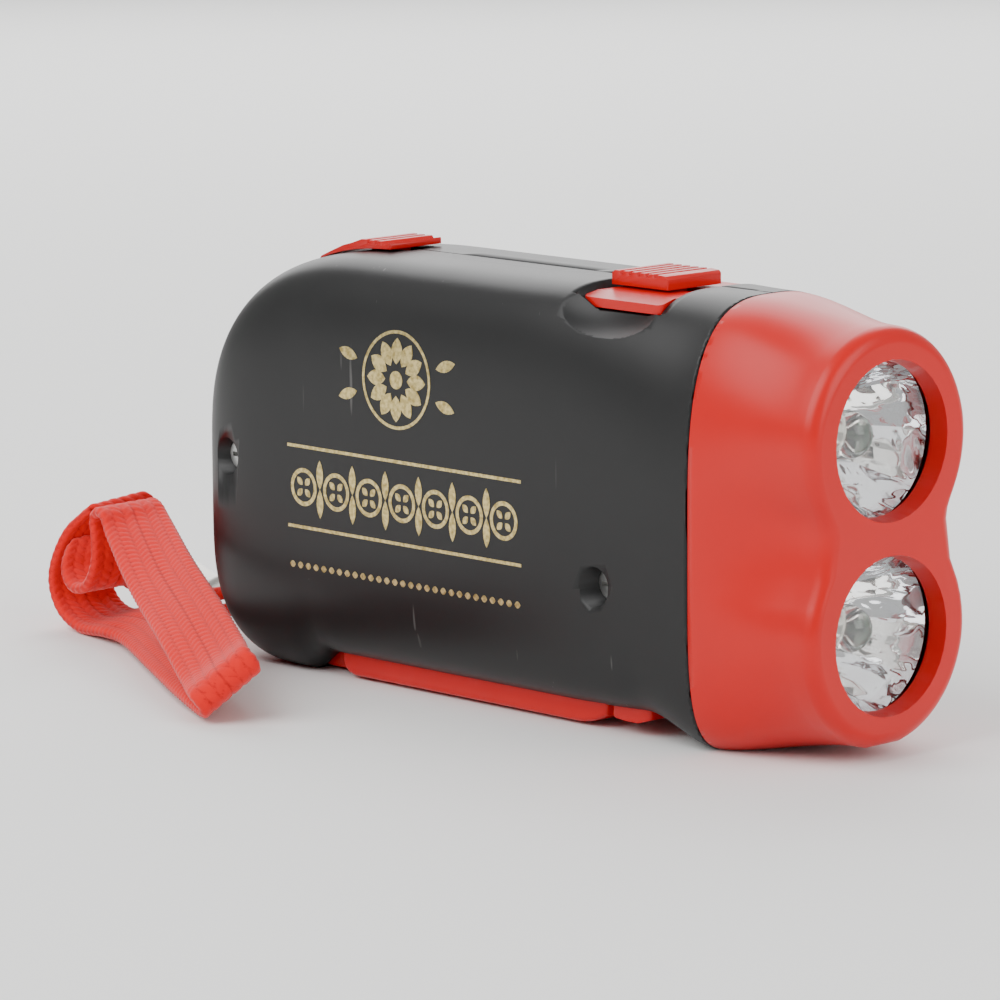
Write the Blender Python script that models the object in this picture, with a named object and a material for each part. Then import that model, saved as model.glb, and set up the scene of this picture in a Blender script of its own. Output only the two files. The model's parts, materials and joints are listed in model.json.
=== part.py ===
"""Squeeze-lever dynamo flashlight with two lamps, modelled in millimetres and written in metres.

Frame: +X towards the lamps, -Y towards the side that carries the screws, +Z up.
The origin is on the surface that the flashlight stands on, under the middle of its length and width.
"""

import math

import bmesh
import bpy
from mathutils import Matrix, Vector

MM = 0.001

# Housing, overall
LENGTH = 106.8
WIDTH = 28.7
TOP_Z = 52.4
WALL = 1.8
GAP = 0.3
BEZEL_LENGTH = 18.65
SIDE_CENTRE_Z = 20.8
REAR_TOP_RUN = 30.3
REAR_BOTTOM_RUN = 16.3
REAR_SIDE_RUN = 24.3
REAR_PROFILE_POWER = 2.6
REAR_SIDE_POWER = 4.5
BODY_POWER = 5.0
SEAM_POWER = 3.0
FOOT_SINK = 0.5
BELLY_RISE = 3.1
BELLY_POWER = 7.0
FRONT_FOOT_RUN = 10.0
FOOT_FRONT_RUN = 2.6

FRONT_X = LENGTH / 2
REAR_X = -LENGTH / 2
SEAM_X = FRONT_X - BEZEL_LENGTH
HALF_WIDTH = WIDTH / 2

# Lamps
LENS_SPACING = 22.5
LENS_CENTRE_Z = 25.85
OPENING_RADIUS = 9.45
OPENING_DEPTH = 2.3
OPENING_TAPER = 0.5
LOBE_RADIUS = 13.1
WAIST_HALF_WIDTH = 10.4
LOBE_POWER = 14.0
BEZEL_EDGE_RADIUS = 2.0
BEZEL_WALL = 1.7
TAB_LENGTH = 3.1
TAB_LOW_Z = 8.0
TAB_HIGH_Z = 42.0
LENS_RADIUS = 10.0
LENS_THICKNESS = 1.3
REFLECTOR_DEPTH = 9.2
REFLECTOR_WALL = 0.7
REFLECTOR_HOLE = 3.3
LED_RADIUS = 2.75
LED_LENGTH = 8.8
LED_BOARD_THICKNESS = 1.5
LED_BOARD_WIDTH = 12.0
LAMP_Z = (LENS_CENTRE_Z + LENS_SPACING / 2, LENS_CENTRE_Z - LENS_SPACING / 2)

# Lever and gear train
PIVOT_X = -32.6
PIVOT_Z = 7.0
LEVER_END_X = 18.0
LEVER_HALF_WIDTH = 8.0
GRIP_REAR_X = -28.2
GRIP_HALF_WIDTH = 10.6
LEVER_WALL = 1.6
LEVER_BOTTOM_Z = 0.4
LEVER_TOP_Z = 6.4
LEVER_EAR_RADIUS = 6.5
LEVER_PIN_RADIUS = 1.2
MESH_ANGLE = math.radians(12)
FIRST_MODULE = 0.8
SECOND_MODULE = 0.6
SECTOR_TEETH = 72
WHEEL_TEETH = 24
PINION_TEETH = 12
SECTOR_SHOWN = 7
SECOND_GEAR_ANGLE = math.radians(78)
ROTOR_ANGLE = math.radians(140)
TOOTH_THINNING = 0.33
SECTOR_THICKNESS = 2.4
WHEEL_THICKNESS = 2.0
LAYER_GAP = 0.5
AXLE_RADIUS = 1.0
BORE_CLEARANCE = 0.25
GEAR_PLATE_THICKNESS = 1.2

# Generator
MAGNET_RADIUS = 7.5
MAGNET_THICKNESS = 5.1
AIR_GAP = 0.6
STATOR_THICKNESS = 4.0
HUB_RADIUS = 2.2
LIMB_WIDTH = 3.6
COIL_RADIUS = 5.6
STATOR_REAR_X = -32.0

# Switches
CAP_LENGTH = 9.3
CAP_HALF_WIDTH = 4.5
CAP_HEIGHT = 1.7
CAP_REAR_X = 12.9
PLATE_LENGTH = 12.8
PLATE_HALF_WIDTH = 9.6
PLATE_HEIGHT = 1.7
PLATE_REAR_X = 13.3
PLATE_BOTTOM_Z = 49.9
PLATE_EDGE_DROP = 0.6
PLATE_EDGE_RUN = 2.1
FRONT_TRAVEL = 3.0
SCOOP_X = 20.4
SCOOP_RADII = (13.0, 9.0, 8.0)
SCOOP_SIDE_Y = 17.0
SCOOP_Z = 54.0
RIB_PITCH = 1.38
RIB_DEPTH = 0.45
REAR_CAP_FRONT_X = -25.5
REAR_CAP_LENGTH = 12.9
REAR_CAP_HALF_WIDTH = 4.3
REAR_CAP_HEIGHT = 0.85
REAR_TRAVEL = 3.0
STEM_HALF_WIDTH = 1.4
STEM_HALF_LENGTH = 2.0
SWITCH_HEIGHT = 3.5
SWITCH_LENGTH = 10.0
SWITCH_HALF_WIDTH = 3.5

# Electronics
BOARD_Z = 42.6
BOARD_THICKNESS = 1.2
BOARD_HALF_WIDTH = 8.0
BOARD_REAR_X = -34.0
BOARD_FRONT_X = 31.0
CELL_RADIUS = 10.0
CELL_THICKNESS = 3.2
CELL_X = 22.3

# Fasteners
SCREW_HOLE_RADIUS = 2.4
SCREW_HEAD_RADIUS = 2.05
SCREW_HEAD_DEPTH = 2.3
SCREW_HEAD_HEIGHT = 1.5
SCREW_SHANK_RADIUS = 1.1
BOSS_RADIUS = 3.4
SCREW_PLACES = ((-45.5, 26.0), (19.7, 17.9))

# Lock slide and strap anchor
LOCK_LENGTH = 6.5
LOCK_HALF_WIDTH = 10.4
LOCK_BOTTOM_Z = 1.6
LOCK_TOP_Z = 3.4
LOCK_TRAVEL = 3.0
LOCK_STEM_LENGTH = 3.0
LOCK_STEM_HALF_WIDTH = 2.6
STRAP_BAR_X = -49.6
STRAP_BAR_Z = 9.5
STRAP_BAR_RADIUS = 0.9
STRAP_POCKET_HALF_WIDTH = 3.4
LOOP_RADIUS = 0.9
STRAP_WIDTH = 9.2
STRAP_THICKNESS = 1.4
CLIP_LENGTH = 7.0
CLIP_WIDTH = 10.0
CLIP_THICKNESS = 3.4
CLIP_CENTRE = (-69.5, -1.5, 4.7)
CLIP_ALONG = (0.863, 0.261, -0.432)
CLIP_ACROSS = (-0.205, 0.963, 0.173)

# Middle line of the strap, from the clip round to the clip, with the direction of its width at each place
STRAP_COURSE = (
    (-72.45, -2.6, 7.25, -0.20, 0.96, 0.17),
    (-74.4, -3.2, 8.25, -0.20, 0.96, 0.17),
    (-76.1, -4.9, 15.3, 0.00, 0.99, 0.10),
    (-77.0, -8.0, 14.1, 0.12, 0.99, 0.10),
    (-78.0, -9.7, 11.0, 0.17, 0.98, 0.08),
    (-79.2, -10.1, 6.6, 0.19, 0.98, 0.06),
    (-77.6, -10.3, 2.9, 0.19, 0.98, 0.06),
    (-72.9, -11.1, 1.3, 0.19, 0.97, 0.12),
    (-66.1, -12.8, 2.4, 0.19, 0.94, 0.28),
    (-59.4, -15.0, 2.9, 0.24, 0.89, 0.38),
    (-43.6, -23.9, 3.3, 0.33, 0.82, 0.47),
    (-29.8, -31.9, 3.7, 0.40, 0.72, 0.57),
    (-20.0, -36.9, 3.6, 0.46, 0.62, 0.64),
    (-17.2, -38.5, 3.9, 0.46, 0.62, 0.64),
    (-16.6, -39.4, 5.0, 0.46, 0.62, 0.64),
    (-18.2, -39.4, 6.1, 0.46, 0.62, 0.64),
    (-24.0, -35.3, 6.1, 0.42, 0.72, 0.56),
    (-35.1, -29.2, 8.6, 0.34, 0.82, 0.46),
    (-49.7, -21.3, 11.5, 0.28, 0.87, 0.40),
    (-61.2, -15.1, 15.1, 0.22, 0.95, 0.20),
    (-64.6, -13.5, 16.8, 0.19, 0.98, 0.06),
    (-66.7, -12.8, 16.9, 0.19, 0.98, 0.06),
    (-67.8, -12.5, 15.6, 0.19, 0.98, 0.06),
    (-67.4, -12.6, 12.7, 0.19, 0.98, 0.06),
    (-67.4, -12.9, 9.7, 0.19, 0.98, 0.06),
    (-69.4, -12.6, 7.1, 0.19, 0.98, 0.06),
    (-72.5, -12.1, 6.4, 0.19, 0.98, 0.06),
    (-74.9, -11.4, 7.8, 0.19, 0.98, 0.06),
    (-75.9, -10.3, 9.9, 0.19, 0.98, 0.06),
    (-76.8, -7.9, 11.2, 0.10, 0.99, 0.10),
    (-75.3, -3.1, 6.6, -0.20, 0.96, 0.17),
    (-73.3, -2.5, 5.6, -0.20, 0.96, 0.17),
)

# Middle line of the cord loop: out from the clip and back to it; the turn round the bar comes in between
LOOP_OUT = ((-66.6, -0.4, 2.3), (-63.2, -0.3, 2.3), (-59.0, -0.2, 3.4), (-55.2, 0.0, 5.4), (-52.6, 0.0, 6.9))
LOOP_BACK = ((-52.6, 0.0, 10.7), (-55.2, 0.0, 8.5), (-59.0, -0.2, 5.8), (-63.0, -0.4, 4.6), (-65.8, -0.5, 4.1))

RING_POINTS = 48


def smooth(low, high, value):
    """Rise smoothly from 0 at low to 1 at high."""
    share = min(1.0, max(0.0, (value - low) / (high - low)))
    return share * share * (3 - 2 * share)


def fall_off(run, start, x, power):
    """Height share of a rounded end that starts at start and closes a run further back."""
    share = min(1.0, max(0.0, (start - x) / run))
    return (1 - share ** power) ** (1 / power)


def half_width(x, inset):
    start = REAR_X + REAR_SIDE_RUN
    return (HALF_WIDTH - inset) * fall_off(REAR_SIDE_RUN - inset, start, x, REAR_SIDE_POWER)


def top_height(x, inset):
    start = REAR_X + REAR_TOP_RUN
    rise = TOP_Z - SIDE_CENTRE_Z - inset
    return SIDE_CENTRE_Z + rise * fall_off(REAR_TOP_RUN - inset, start, x, REAR_PROFILE_POWER)


def belly(x):
    """Underside line: a rear foot, a raised belly over the lever, and a slope down to the bezel."""
    rise = smooth(PIVOT_X - 2.4, PIVOT_X + FOOT_FRONT_RUN, x) * (1 - smooth(SEAM_X - FRONT_FOOT_RUN, SEAM_X, x))
    return BELLY_RISE * rise - FOOT_SINK


def bottom_height(x, inset):
    start = REAR_X + REAR_BOTTOM_RUN
    drop = SIDE_CENTRE_Z - inset - belly(x)
    return SIDE_CENTRE_Z - drop * fall_off(REAR_BOTTOM_RUN - inset, start, x, REAR_PROFILE_POWER)


def corner_power(x, below):
    """How square the section's corners are; the lower ones are squarest over the lever."""
    if below:
        rise = smooth(PIVOT_X - 2.4, PIVOT_X + 6.0, x) * (1 - smooth(12.0, SEAM_X, x))
        return BODY_POWER + (BELLY_POWER - BODY_POWER) * rise
    return BODY_POWER + (SEAM_POWER - BODY_POWER) * smooth(5.0, SEAM_X, x)


def signed_power(value, power):
    return math.copysign(abs(value) ** power, value)


def body_ring(x, inset, count, floor=0.0):
    """Cross-section of the housing at x, drawn in by inset, as count points."""
    low, high = bottom_height(x, inset), top_height(x, inset)
    middle, rise = (low + high) / 2, (high - low) / 2
    width = half_width(x, inset)
    ring = []
    for index in range(count):
        angle = 2 * math.pi * (index + 0.5) / count
        shape = 2 / corner_power(x, math.cos(angle) < 0)
        y = width * signed_power(math.sin(angle), shape)
        z = middle + rise * signed_power(math.cos(angle), shape)
        ring.append(Vector((x, y, max(z, floor))))
    return ring


def lobed_radius(angle, inset):
    """Distance from the lamps' middle to the outline round both lamps; angle 0 is straight up."""
    reach = LENS_SPACING / 2
    along = max(abs(math.cos(angle)), 1e-6)
    across = max(abs(math.sin(angle)), 1e-6)
    lobe = LOBE_RADIUS - inset
    circle = reach * along + math.sqrt(max(lobe ** 2 - (reach * across) ** 2, 0.0))
    waist = min((WAIST_HALF_WIDTH - inset) / across, reach / along)
    return (circle ** LOBE_POWER + waist ** LOBE_POWER) ** (1 / LOBE_POWER)


def bezel_ring(x, inset, count, floor=0.0):
    """Cross-section of the bezel: the housing's at the seam, both lamps' outline at the front."""
    share = smooth(SEAM_X - 1.0, FRONT_X - 2.0, x)
    edge = x - (FRONT_X - BEZEL_EDGE_RADIUS)
    rounding = 0.0
    if edge > 0:
        rounding = BEZEL_EDGE_RADIUS - math.sqrt(max(BEZEL_EDGE_RADIUS ** 2 - edge ** 2, 0.0))
    ring = []
    for start in body_ring(SEAM_X, inset, count, floor=-10.0):
        offset = Vector((0.0, start.y, start.z - LENS_CENTRE_Z))
        angle = math.atan2(offset.y, offset.z)
        front = lobed_radius(angle, inset)
        radius = offset.length * (1 - share) + front * share - rounding
        z = LENS_CENTRE_Z + radius * math.cos(angle)
        ring.append(Vector((x, radius * math.sin(angle), max(z, floor))))
    return ring


def loft(rings, rear_tip=None):
    """Closed body through rings of equal count, with a point or a flat cap at each end."""
    mesh = bmesh.new()
    rows = [[mesh.verts.new(point) for point in ring] for ring in rings]
    count = len(rows[0])
    for near, far in zip(rows, rows[1:]):
        for index in range(count):
            after = (index + 1) % count
            mesh.faces.new((near[index], near[after], far[after], far[index]))
    if rear_tip is None:
        mesh.faces.new(list(reversed(rows[0])))
    else:
        tip = mesh.verts.new(rear_tip)
        for index in range(count):
            mesh.faces.new((tip, rows[0][(index + 1) % count], rows[0][index]))
    mesh.faces.new(rows[-1])
    bmesh.ops.recalc_face_normals(mesh, faces=mesh.faces)
    return mesh


def box(low, high):
    mesh = bmesh.new()
    bmesh.ops.create_cube(mesh, size=1.0)
    low, high = Vector(low), Vector(high)
    for vert in mesh.verts:
        vert.co = Vector(((low[i] + high[i]) / 2 + vert.co[i] * (high[i] - low[i]) for i in range(3)))
    return mesh


def turned(profile, axis, place, count=24):
    """Turn a profile of (distance along the axis, radius) about X or Y through place."""
    mesh = bmesh.new()
    rows = []
    for along, radius in profile:
        if radius < 1e-6:
            rows.append([mesh.verts.new((0, 0, along))])
            continue
        steps = [2 * math.pi * index / count for index in range(count)]
        rows.append([mesh.verts.new((radius * math.cos(s), radius * math.sin(s), along)) for s in steps])
    for near, far in zip(rows, rows[1:]):
        for index in range(count):
            after = (index + 1) % count
            corners = [near[index % len(near)], near[after % len(near)]]
            corners += [far[after % len(far)], far[index % len(far)]]
            unique = list(dict.fromkeys(corners))
            if len(unique) > 2:
                mesh.faces.new(unique)
    if len(rows[0]) > 1 and rows[0] is not rows[-1] and profile[0] != profile[-1]:
        mesh.faces.new(list(reversed(rows[0])))
    if len(rows[-1]) > 1 and profile[0] != profile[-1]:
        mesh.faces.new(rows[-1])
    if profile[0] == profile[-1]:
        bmesh.ops.remove_doubles(mesh, verts=mesh.verts, dist=1e-5)
    bmesh.ops.recalc_face_normals(mesh, faces=mesh.faces)
    turn = Matrix.Rotation(math.pi / 2, 4, "Y") if axis == "X" else Matrix.Rotation(-math.pi / 2, 4, "X")
    bmesh.ops.transform(mesh, matrix=Matrix.Translation(place) @ turn, verts=mesh.verts)
    return mesh


def rod(x, z, low_y, high_y, radius, count=16):
    """Round bar along Y."""
    return turned([(low_y, radius), (high_y, radius)], "Y", (x, 0, z), count)


def sleeve(x, z, low_y, high_y, radius, bore, count=16):
    """Round tube along Y."""
    profile = [(low_y, bore), (low_y, radius), (high_y, radius), (high_y, bore), (low_y, bore)]
    return turned(profile, "Y", (x, 0, z), count)


def plate(outline, low_y, high_y):
    """Flat plate in the XZ plane, from a list of (x, z)."""
    mesh = bmesh.new()
    near = [mesh.verts.new((x, low_y, z)) for x, z in outline]
    far = [mesh.verts.new((x, high_y, z)) for x, z in outline]
    mesh.faces.new(near)
    mesh.faces.new(list(reversed(far)))
    for index in range(len(outline)):
        after = (index + 1) % len(outline)
        mesh.faces.new((near[index], far[index], far[after], near[after]))
    bmesh.ops.recalc_face_normals(mesh, faces=mesh.faces)
    return mesh


def combine(base, tool, operation):
    """Boolean of two meshes: DIFFERENCE, UNION or INTERSECT."""
    objects = []
    for mesh in (base, tool):
        data = bpy.data.meshes.new("work")
        bmesh.ops.recalc_face_normals(mesh, faces=mesh.faces)
        mesh.to_mesh(data)
        mesh.free()
        item = bpy.data.objects.new("work", data)
        bpy.context.scene.collection.objects.link(item)
        objects.append(item)
    modifier = objects[0].modifiers.new("cut", "BOOLEAN")
    modifier.operation = operation
    modifier.solver = "EXACT"
    modifier.use_self = operation == "UNION"
    modifier.object = objects[1]
    graph = bpy.context.evaluated_depsgraph_get()
    graph.update()
    result = bmesh.new()
    data = bpy.data.meshes.new_from_object(objects[0].evaluated_get(graph))
    result.from_mesh(data)
    bpy.data.meshes.remove(data)
    for item in objects:
        data = item.data
        bpy.data.objects.remove(item)
        bpy.data.meshes.remove(data)
    bmesh.ops.dissolve_degenerate(result, edges=result.edges, dist=0.002)
    bmesh.ops.remove_doubles(result, verts=result.verts, dist=0.001)
    slits = [edge for edge in result.edges if edge.is_boundary]
    if slits:
        bmesh.ops.holes_fill(result, edges=slits, sides=6)
    return result


def cut(base, *tools):
    for tool in tools:
        base = combine(base, tool, "DIFFERENCE")
    return base


def join(base, *tools):
    for tool in tools:
        base = combine(base, tool, "UNION")
    return base


def material(name, colour, roughness, metallic=0.0, alpha=1.0):
    made = bpy.data.materials.get(name)
    if made:
        return made
    made = bpy.data.materials.new(name)
    made.use_nodes = True
    shader = made.node_tree.nodes["Principled BSDF"]
    shader.inputs["Base Color"].default_value = (*colour, 1.0)
    shader.inputs["Roughness"].default_value = roughness
    shader.inputs["Metallic"].default_value = metallic
    shader.inputs["Alpha"].default_value = alpha
    made.diffuse_color = (*colour, alpha)
    return made


BLACK = ("black_abs", (0.018, 0.018, 0.020), 0.42)
RED = ("red_abs", (0.62, 0.010, 0.008), 0.30)
CLEAR = ("clear_lens", (0.92, 0.94, 0.95), 0.05, 0.0, 0.3)
CHROME = ("chromed_plastic", (0.86, 0.86, 0.88), 0.08, 1.0)
LED_EPOXY = ("led_epoxy", (0.90, 0.92, 0.88), 0.10)
STEEL = ("nickel_steel", (0.62, 0.61, 0.60), 0.30, 1.0)
NICKEL = ("nickel_plate", (0.66, 0.65, 0.62), 0.28, 1.0)
WHITE = ("white_acetal", (0.80, 0.80, 0.76), 0.40)
BOARD = ("green_board", (0.02, 0.16, 0.07), 0.45)
DARK = ("dark_component", (0.03, 0.03, 0.035), 0.5)
COPPER = ("enamelled_copper", (0.72, 0.28, 0.10), 0.30, 1.0)
IRON = ("grey_iron", (0.30, 0.30, 0.31), 0.45, 1.0)
FERRITE = ("ferrite_magnet", (0.07, 0.07, 0.075), 0.6)
WEBBING = ("red_webbing", (0.68, 0.012, 0.008), 0.85)
CORD = ("red_cord", (0.62, 0.012, 0.008), 0.80)
WIRE = ("red_wire", (0.60, 0.020, 0.015), 0.45)
CLIP_STEEL = ("brushed_clip_steel", (0.60, 0.60, 0.60), 0.35, 1.0)


def finish(name, mesh, look, origin=(0, 0, 0), angle=35):
    """Make the named object from a mesh in millimetres, with its own origin."""
    centre = Vector(origin)
    bmesh.ops.triangulate(mesh, faces=[face for face in mesh.faces if len(face.verts) > 4])
    for vert in mesh.verts:
        vert.co = (vert.co - centre) * MM
    bmesh.ops.recalc_face_normals(mesh, faces=mesh.faces)
    data = bpy.data.meshes.new(name)
    mesh.to_mesh(data)
    mesh.free()
    data.shade_smooth()
    data.set_sharp_from_angle(angle=math.radians(angle))
    data.materials.append(material(*look))
    made = bpy.data.objects.new(name, data)
    made.location = centre * MM
    bpy.context.scene.collection.objects.link(made)
    return made


# Places that follow from the sizes above

FIRST_DISTANCE = FIRST_MODULE * (SECTOR_TEETH + PINION_TEETH) / 2
SECOND_DISTANCE = SECOND_MODULE * (WHEEL_TEETH + PINION_TEETH) / 2


def beyond(place, distance, angle):
    return (place[0] + distance * math.cos(angle), place[1] + distance * math.sin(angle))


PIVOT = (PIVOT_X, PIVOT_Z)
FIRST = beyond(PIVOT, FIRST_DISTANCE, MESH_ANGLE)
SECOND = beyond(FIRST, SECOND_DISTANCE, SECOND_GEAR_ANGLE)
ROTOR = beyond(SECOND, SECOND_DISTANCE, ROTOR_ANGLE)

SECTOR_Y = SECTOR_THICKNESS / 2
FIRST_WHEEL_Y = SECTOR_Y + LAYER_GAP
SECOND_WHEEL_Y = FIRST_WHEEL_Y + WHEEL_THICKNESS + LAYER_GAP
TRAIN_END_Y = SECOND_WHEEL_Y + WHEEL_THICKNESS
GEAR_PLATE_Y = -SECTOR_Y - 0.7
GEAR_PLATE_BACK_Y = GEAR_PLATE_Y - GEAR_PLATE_THICKNESS
MAGNET_Y = GEAR_PLATE_BACK_Y - 0.4
MAGNET_BACK_Y = MAGNET_Y - MAGNET_THICKNESS
STATOR_Y = (MAGNET_Y + MAGNET_BACK_Y) / 2
STATOR_FRONT_Y = STATOR_Y + STATOR_THICKNESS / 2
STATOR_BACK_Y = STATOR_Y - STATOR_THICKNESS / 2
BORE_RADIUS = AXLE_RADIUS + BORE_CLEARANCE
STATOR_BORE = MAGNET_RADIUS + AIR_GAP
POLE_REACH = STATOR_BORE + 1.65
STATOR_TOP_Z = BOARD_Z - 0.5
STATOR_LOW_Z = ROTOR[1] - (STATOR_TOP_Z - ROTOR[1])

BOARD_TOP_Z = BOARD_Z + BOARD_THICKNESS
SWITCH_Z = BOARD_TOP_Z + GAP
SWITCH_TOP_Z = SWITCH_Z + SWITCH_HEIGHT
PLATE_TOP_Z = PLATE_BOTTOM_Z + PLATE_HEIGHT
CAP_BOTTOM_Z = PLATE_TOP_Z + GAP
CAP_TOP_Z = CAP_BOTTOM_Z + CAP_HEIGHT
RECESS_FLOOR_Z = PLATE_BOTTOM_Z - GAP
RECESS_WALL_Z = RECESS_FLOOR_Z - WALL + 0.2
RECESS_REAR_X = CAP_REAR_X - GAP
RECESS_FRONT_X = PLATE_REAR_X + PLATE_LENGTH + GAP
FRONT_STEM_X = CAP_REAR_X + CAP_LENGTH / 2
REAR_STEM_X = REAR_CAP_FRONT_X - 4.5

BAY_HALF_WIDTH = LEVER_HALF_WIDTH + 0.4
BAY_FRONT_X = LEVER_END_X + GAP
LOCK_REAR_X = BAY_FRONT_X + GAP / 2
LOCK_FLOOR_Z = LOCK_TOP_Z + GAP + WALL + 0.1
LOCK_STEM_REAR_X = LOCK_REAR_X + 2.2

HEAD_TOP_Y = -HALF_WIDTH + SCREW_HEAD_DEPTH + 0.25
HEAD_SEAT_Y = HEAD_TOP_Y + SCREW_HEAD_HEIGHT
SCREW_END_Y = 8.0

LENS_FRONT_X = FRONT_X - OPENING_DEPTH - GAP
LENS_REAR_X = LENS_FRONT_X - LENS_THICKNESS
REFLECTOR_FRONT_X = LENS_REAR_X - GAP
REFLECTOR_REAR_X = REFLECTOR_FRONT_X - REFLECTOR_DEPTH
LED_BOARD_X = REFLECTOR_REAR_X - GAP
REFLECTOR_MOUTH = LENS_RADIUS - REFLECTOR_WALL - 0.2


# Housing

def outer_form():
    """Outside of the whole housing, from the rear end to past the seam."""
    rings = []
    for degrees in (4, 8, 13, 19, 26, 34, 43, 53, 64, 77):
        x = REAR_X + REAR_SIDE_RUN * (1 - math.cos(math.radians(degrees)))
        rings.append(body_ring(x, 0.0, RING_POINTS))
    start = REAR_X + REAR_TOP_RUN
    end = SEAM_X + 1.0
    for share in (0.0, 0.12, 0.3, 0.5, 0.62, 0.71, 0.78, 0.84, 0.9, 0.95, 1.0):
        rings.append(body_ring(start + (end - start) * share, 0.0, RING_POINTS))
    rings.append(body_ring(PIVOT_X + FOOT_FRONT_RUN, 0.0, RING_POINTS))
    rings.sort(key=lambda ring: ring[0].x)
    return loft(rings, rear_tip=Vector((REAR_X, 0.0, SIDE_CENTRE_Z)))


def cavity_form():
    """Hollow of the housing, open past the seam."""
    rings = []
    for degrees in (12, 24, 38, 55, 75):
        x = REAR_X + WALL + (REAR_SIDE_RUN - WALL) * (1 - math.cos(math.radians(degrees)))
        rings.append(body_ring(x, WALL, RING_POINTS // 2, floor=WALL))
    start = REAR_X + REAR_TOP_RUN
    end = SEAM_X + 2.3
    for share in (0.0, 0.4, 0.68, 0.85, 1.0):
        rings.append(body_ring(start + (end - start) * share, WALL, RING_POINTS // 2, floor=WALL))
    return loft(rings, rear_tip=Vector((REAR_X + WALL, 0.0, SIDE_CENTRE_Z)))


def bosses(side):
    """Solid posts that stand in from one housing wall; side is -1 for the right half, 1 for the left."""
    wall_y = side * (HALF_WIDTH - 1.0)
    ear_y = side * (BAY_HALF_WIDTH - 0.2)
    posts = [rod(*PIVOT, *sorted((ear_y, wall_y)), LEVER_PIN_RADIUS + 1.7)]
    if side > 0:
        starts = ((FIRST, FIRST_WHEEL_Y + WHEEL_THICKNESS + LAYER_GAP), (SECOND, TRAIN_END_Y + LAYER_GAP),
                  (ROTOR, TRAIN_END_Y + LAYER_GAP + 0.3))
    else:
        starts = ((ROTOR, MAGNET_BACK_Y - LAYER_GAP),)
        for place in gear_plate_posts():
            posts.append(rod(*place, wall_y, GEAR_PLATE_BACK_Y - GAP, 1.7, 12))
        for place in ((STATOR_REAR_X + 1.8, STATOR_TOP_Z - 1.7), (ROTOR[0], STATOR_TOP_Z - 1.7)):
            posts.append(rod(*place, wall_y, STATOR_BACK_Y - GAP, 1.5, 12))
    for place, start in starts:
        posts.append(rod(*place, *sorted((start, wall_y)), BORE_RADIUS + 1.05))
    return posts


def ledges(side):
    """Rests for the circuit board; the stator fills the right half's rear."""
    near, far = sorted((side * (BOARD_HALF_WIDTH - 1.0), side * (HALF_WIDTH - 1.0)))
    places = (BOARD_REAR_X + 11.0, FRONT_STEM_X - 12.5) if side > 0 else (FRONT_STEM_X - 12.5,)
    return [box((x, near, BOARD_Z - GAP - 1.2), (x + 5.0, far, BOARD_Z - GAP)) for x in places]


def thick_walls():
    """Blocks kept solid behind the top recess, the lock's pocket and the strap's pocket."""
    side_low, side_high = SCOOP_SIDE_Y - SCOOP_RADII[1] - 0.5, HALF_WIDTH + 1.0
    rear, front = RECESS_REAR_X - WALL, RECESS_FRONT_X + WALL
    blocks = [box((rear, -side_high, RECESS_WALL_Z), (front, side_high, TOP_Z + 2.0))]
    scoop_low = SCOOP_Z - SCOOP_RADII[2] - 0.6
    for side in (-1, 1):
        near, far = sorted((side * side_low, side * (side_high + 1.0)))
        blocks.append(box((rear + 0.3, near, scoop_low), (front - 0.3, far, RECESS_WALL_Z + 0.5)))
    return blocks


def lower_blocks():
    lock_end = LOCK_REAR_X + LOCK_LENGTH + LOCK_TRAVEL
    return [box((BAY_FRONT_X + 0.2, -HALF_WIDTH, -1.0), (lock_end + WALL + GAP, HALF_WIDTH, LOCK_FLOOR_Z)),
            box((REAR_X - 1.0, -STRAP_POCKET_HALF_WIDTH - WALL, STRAP_BAR_Z - 5.2),
                (STRAP_BAR_X + 5.2, STRAP_POCKET_HALF_WIDTH + WALL, STRAP_BAR_Z + 5.2))]


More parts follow.
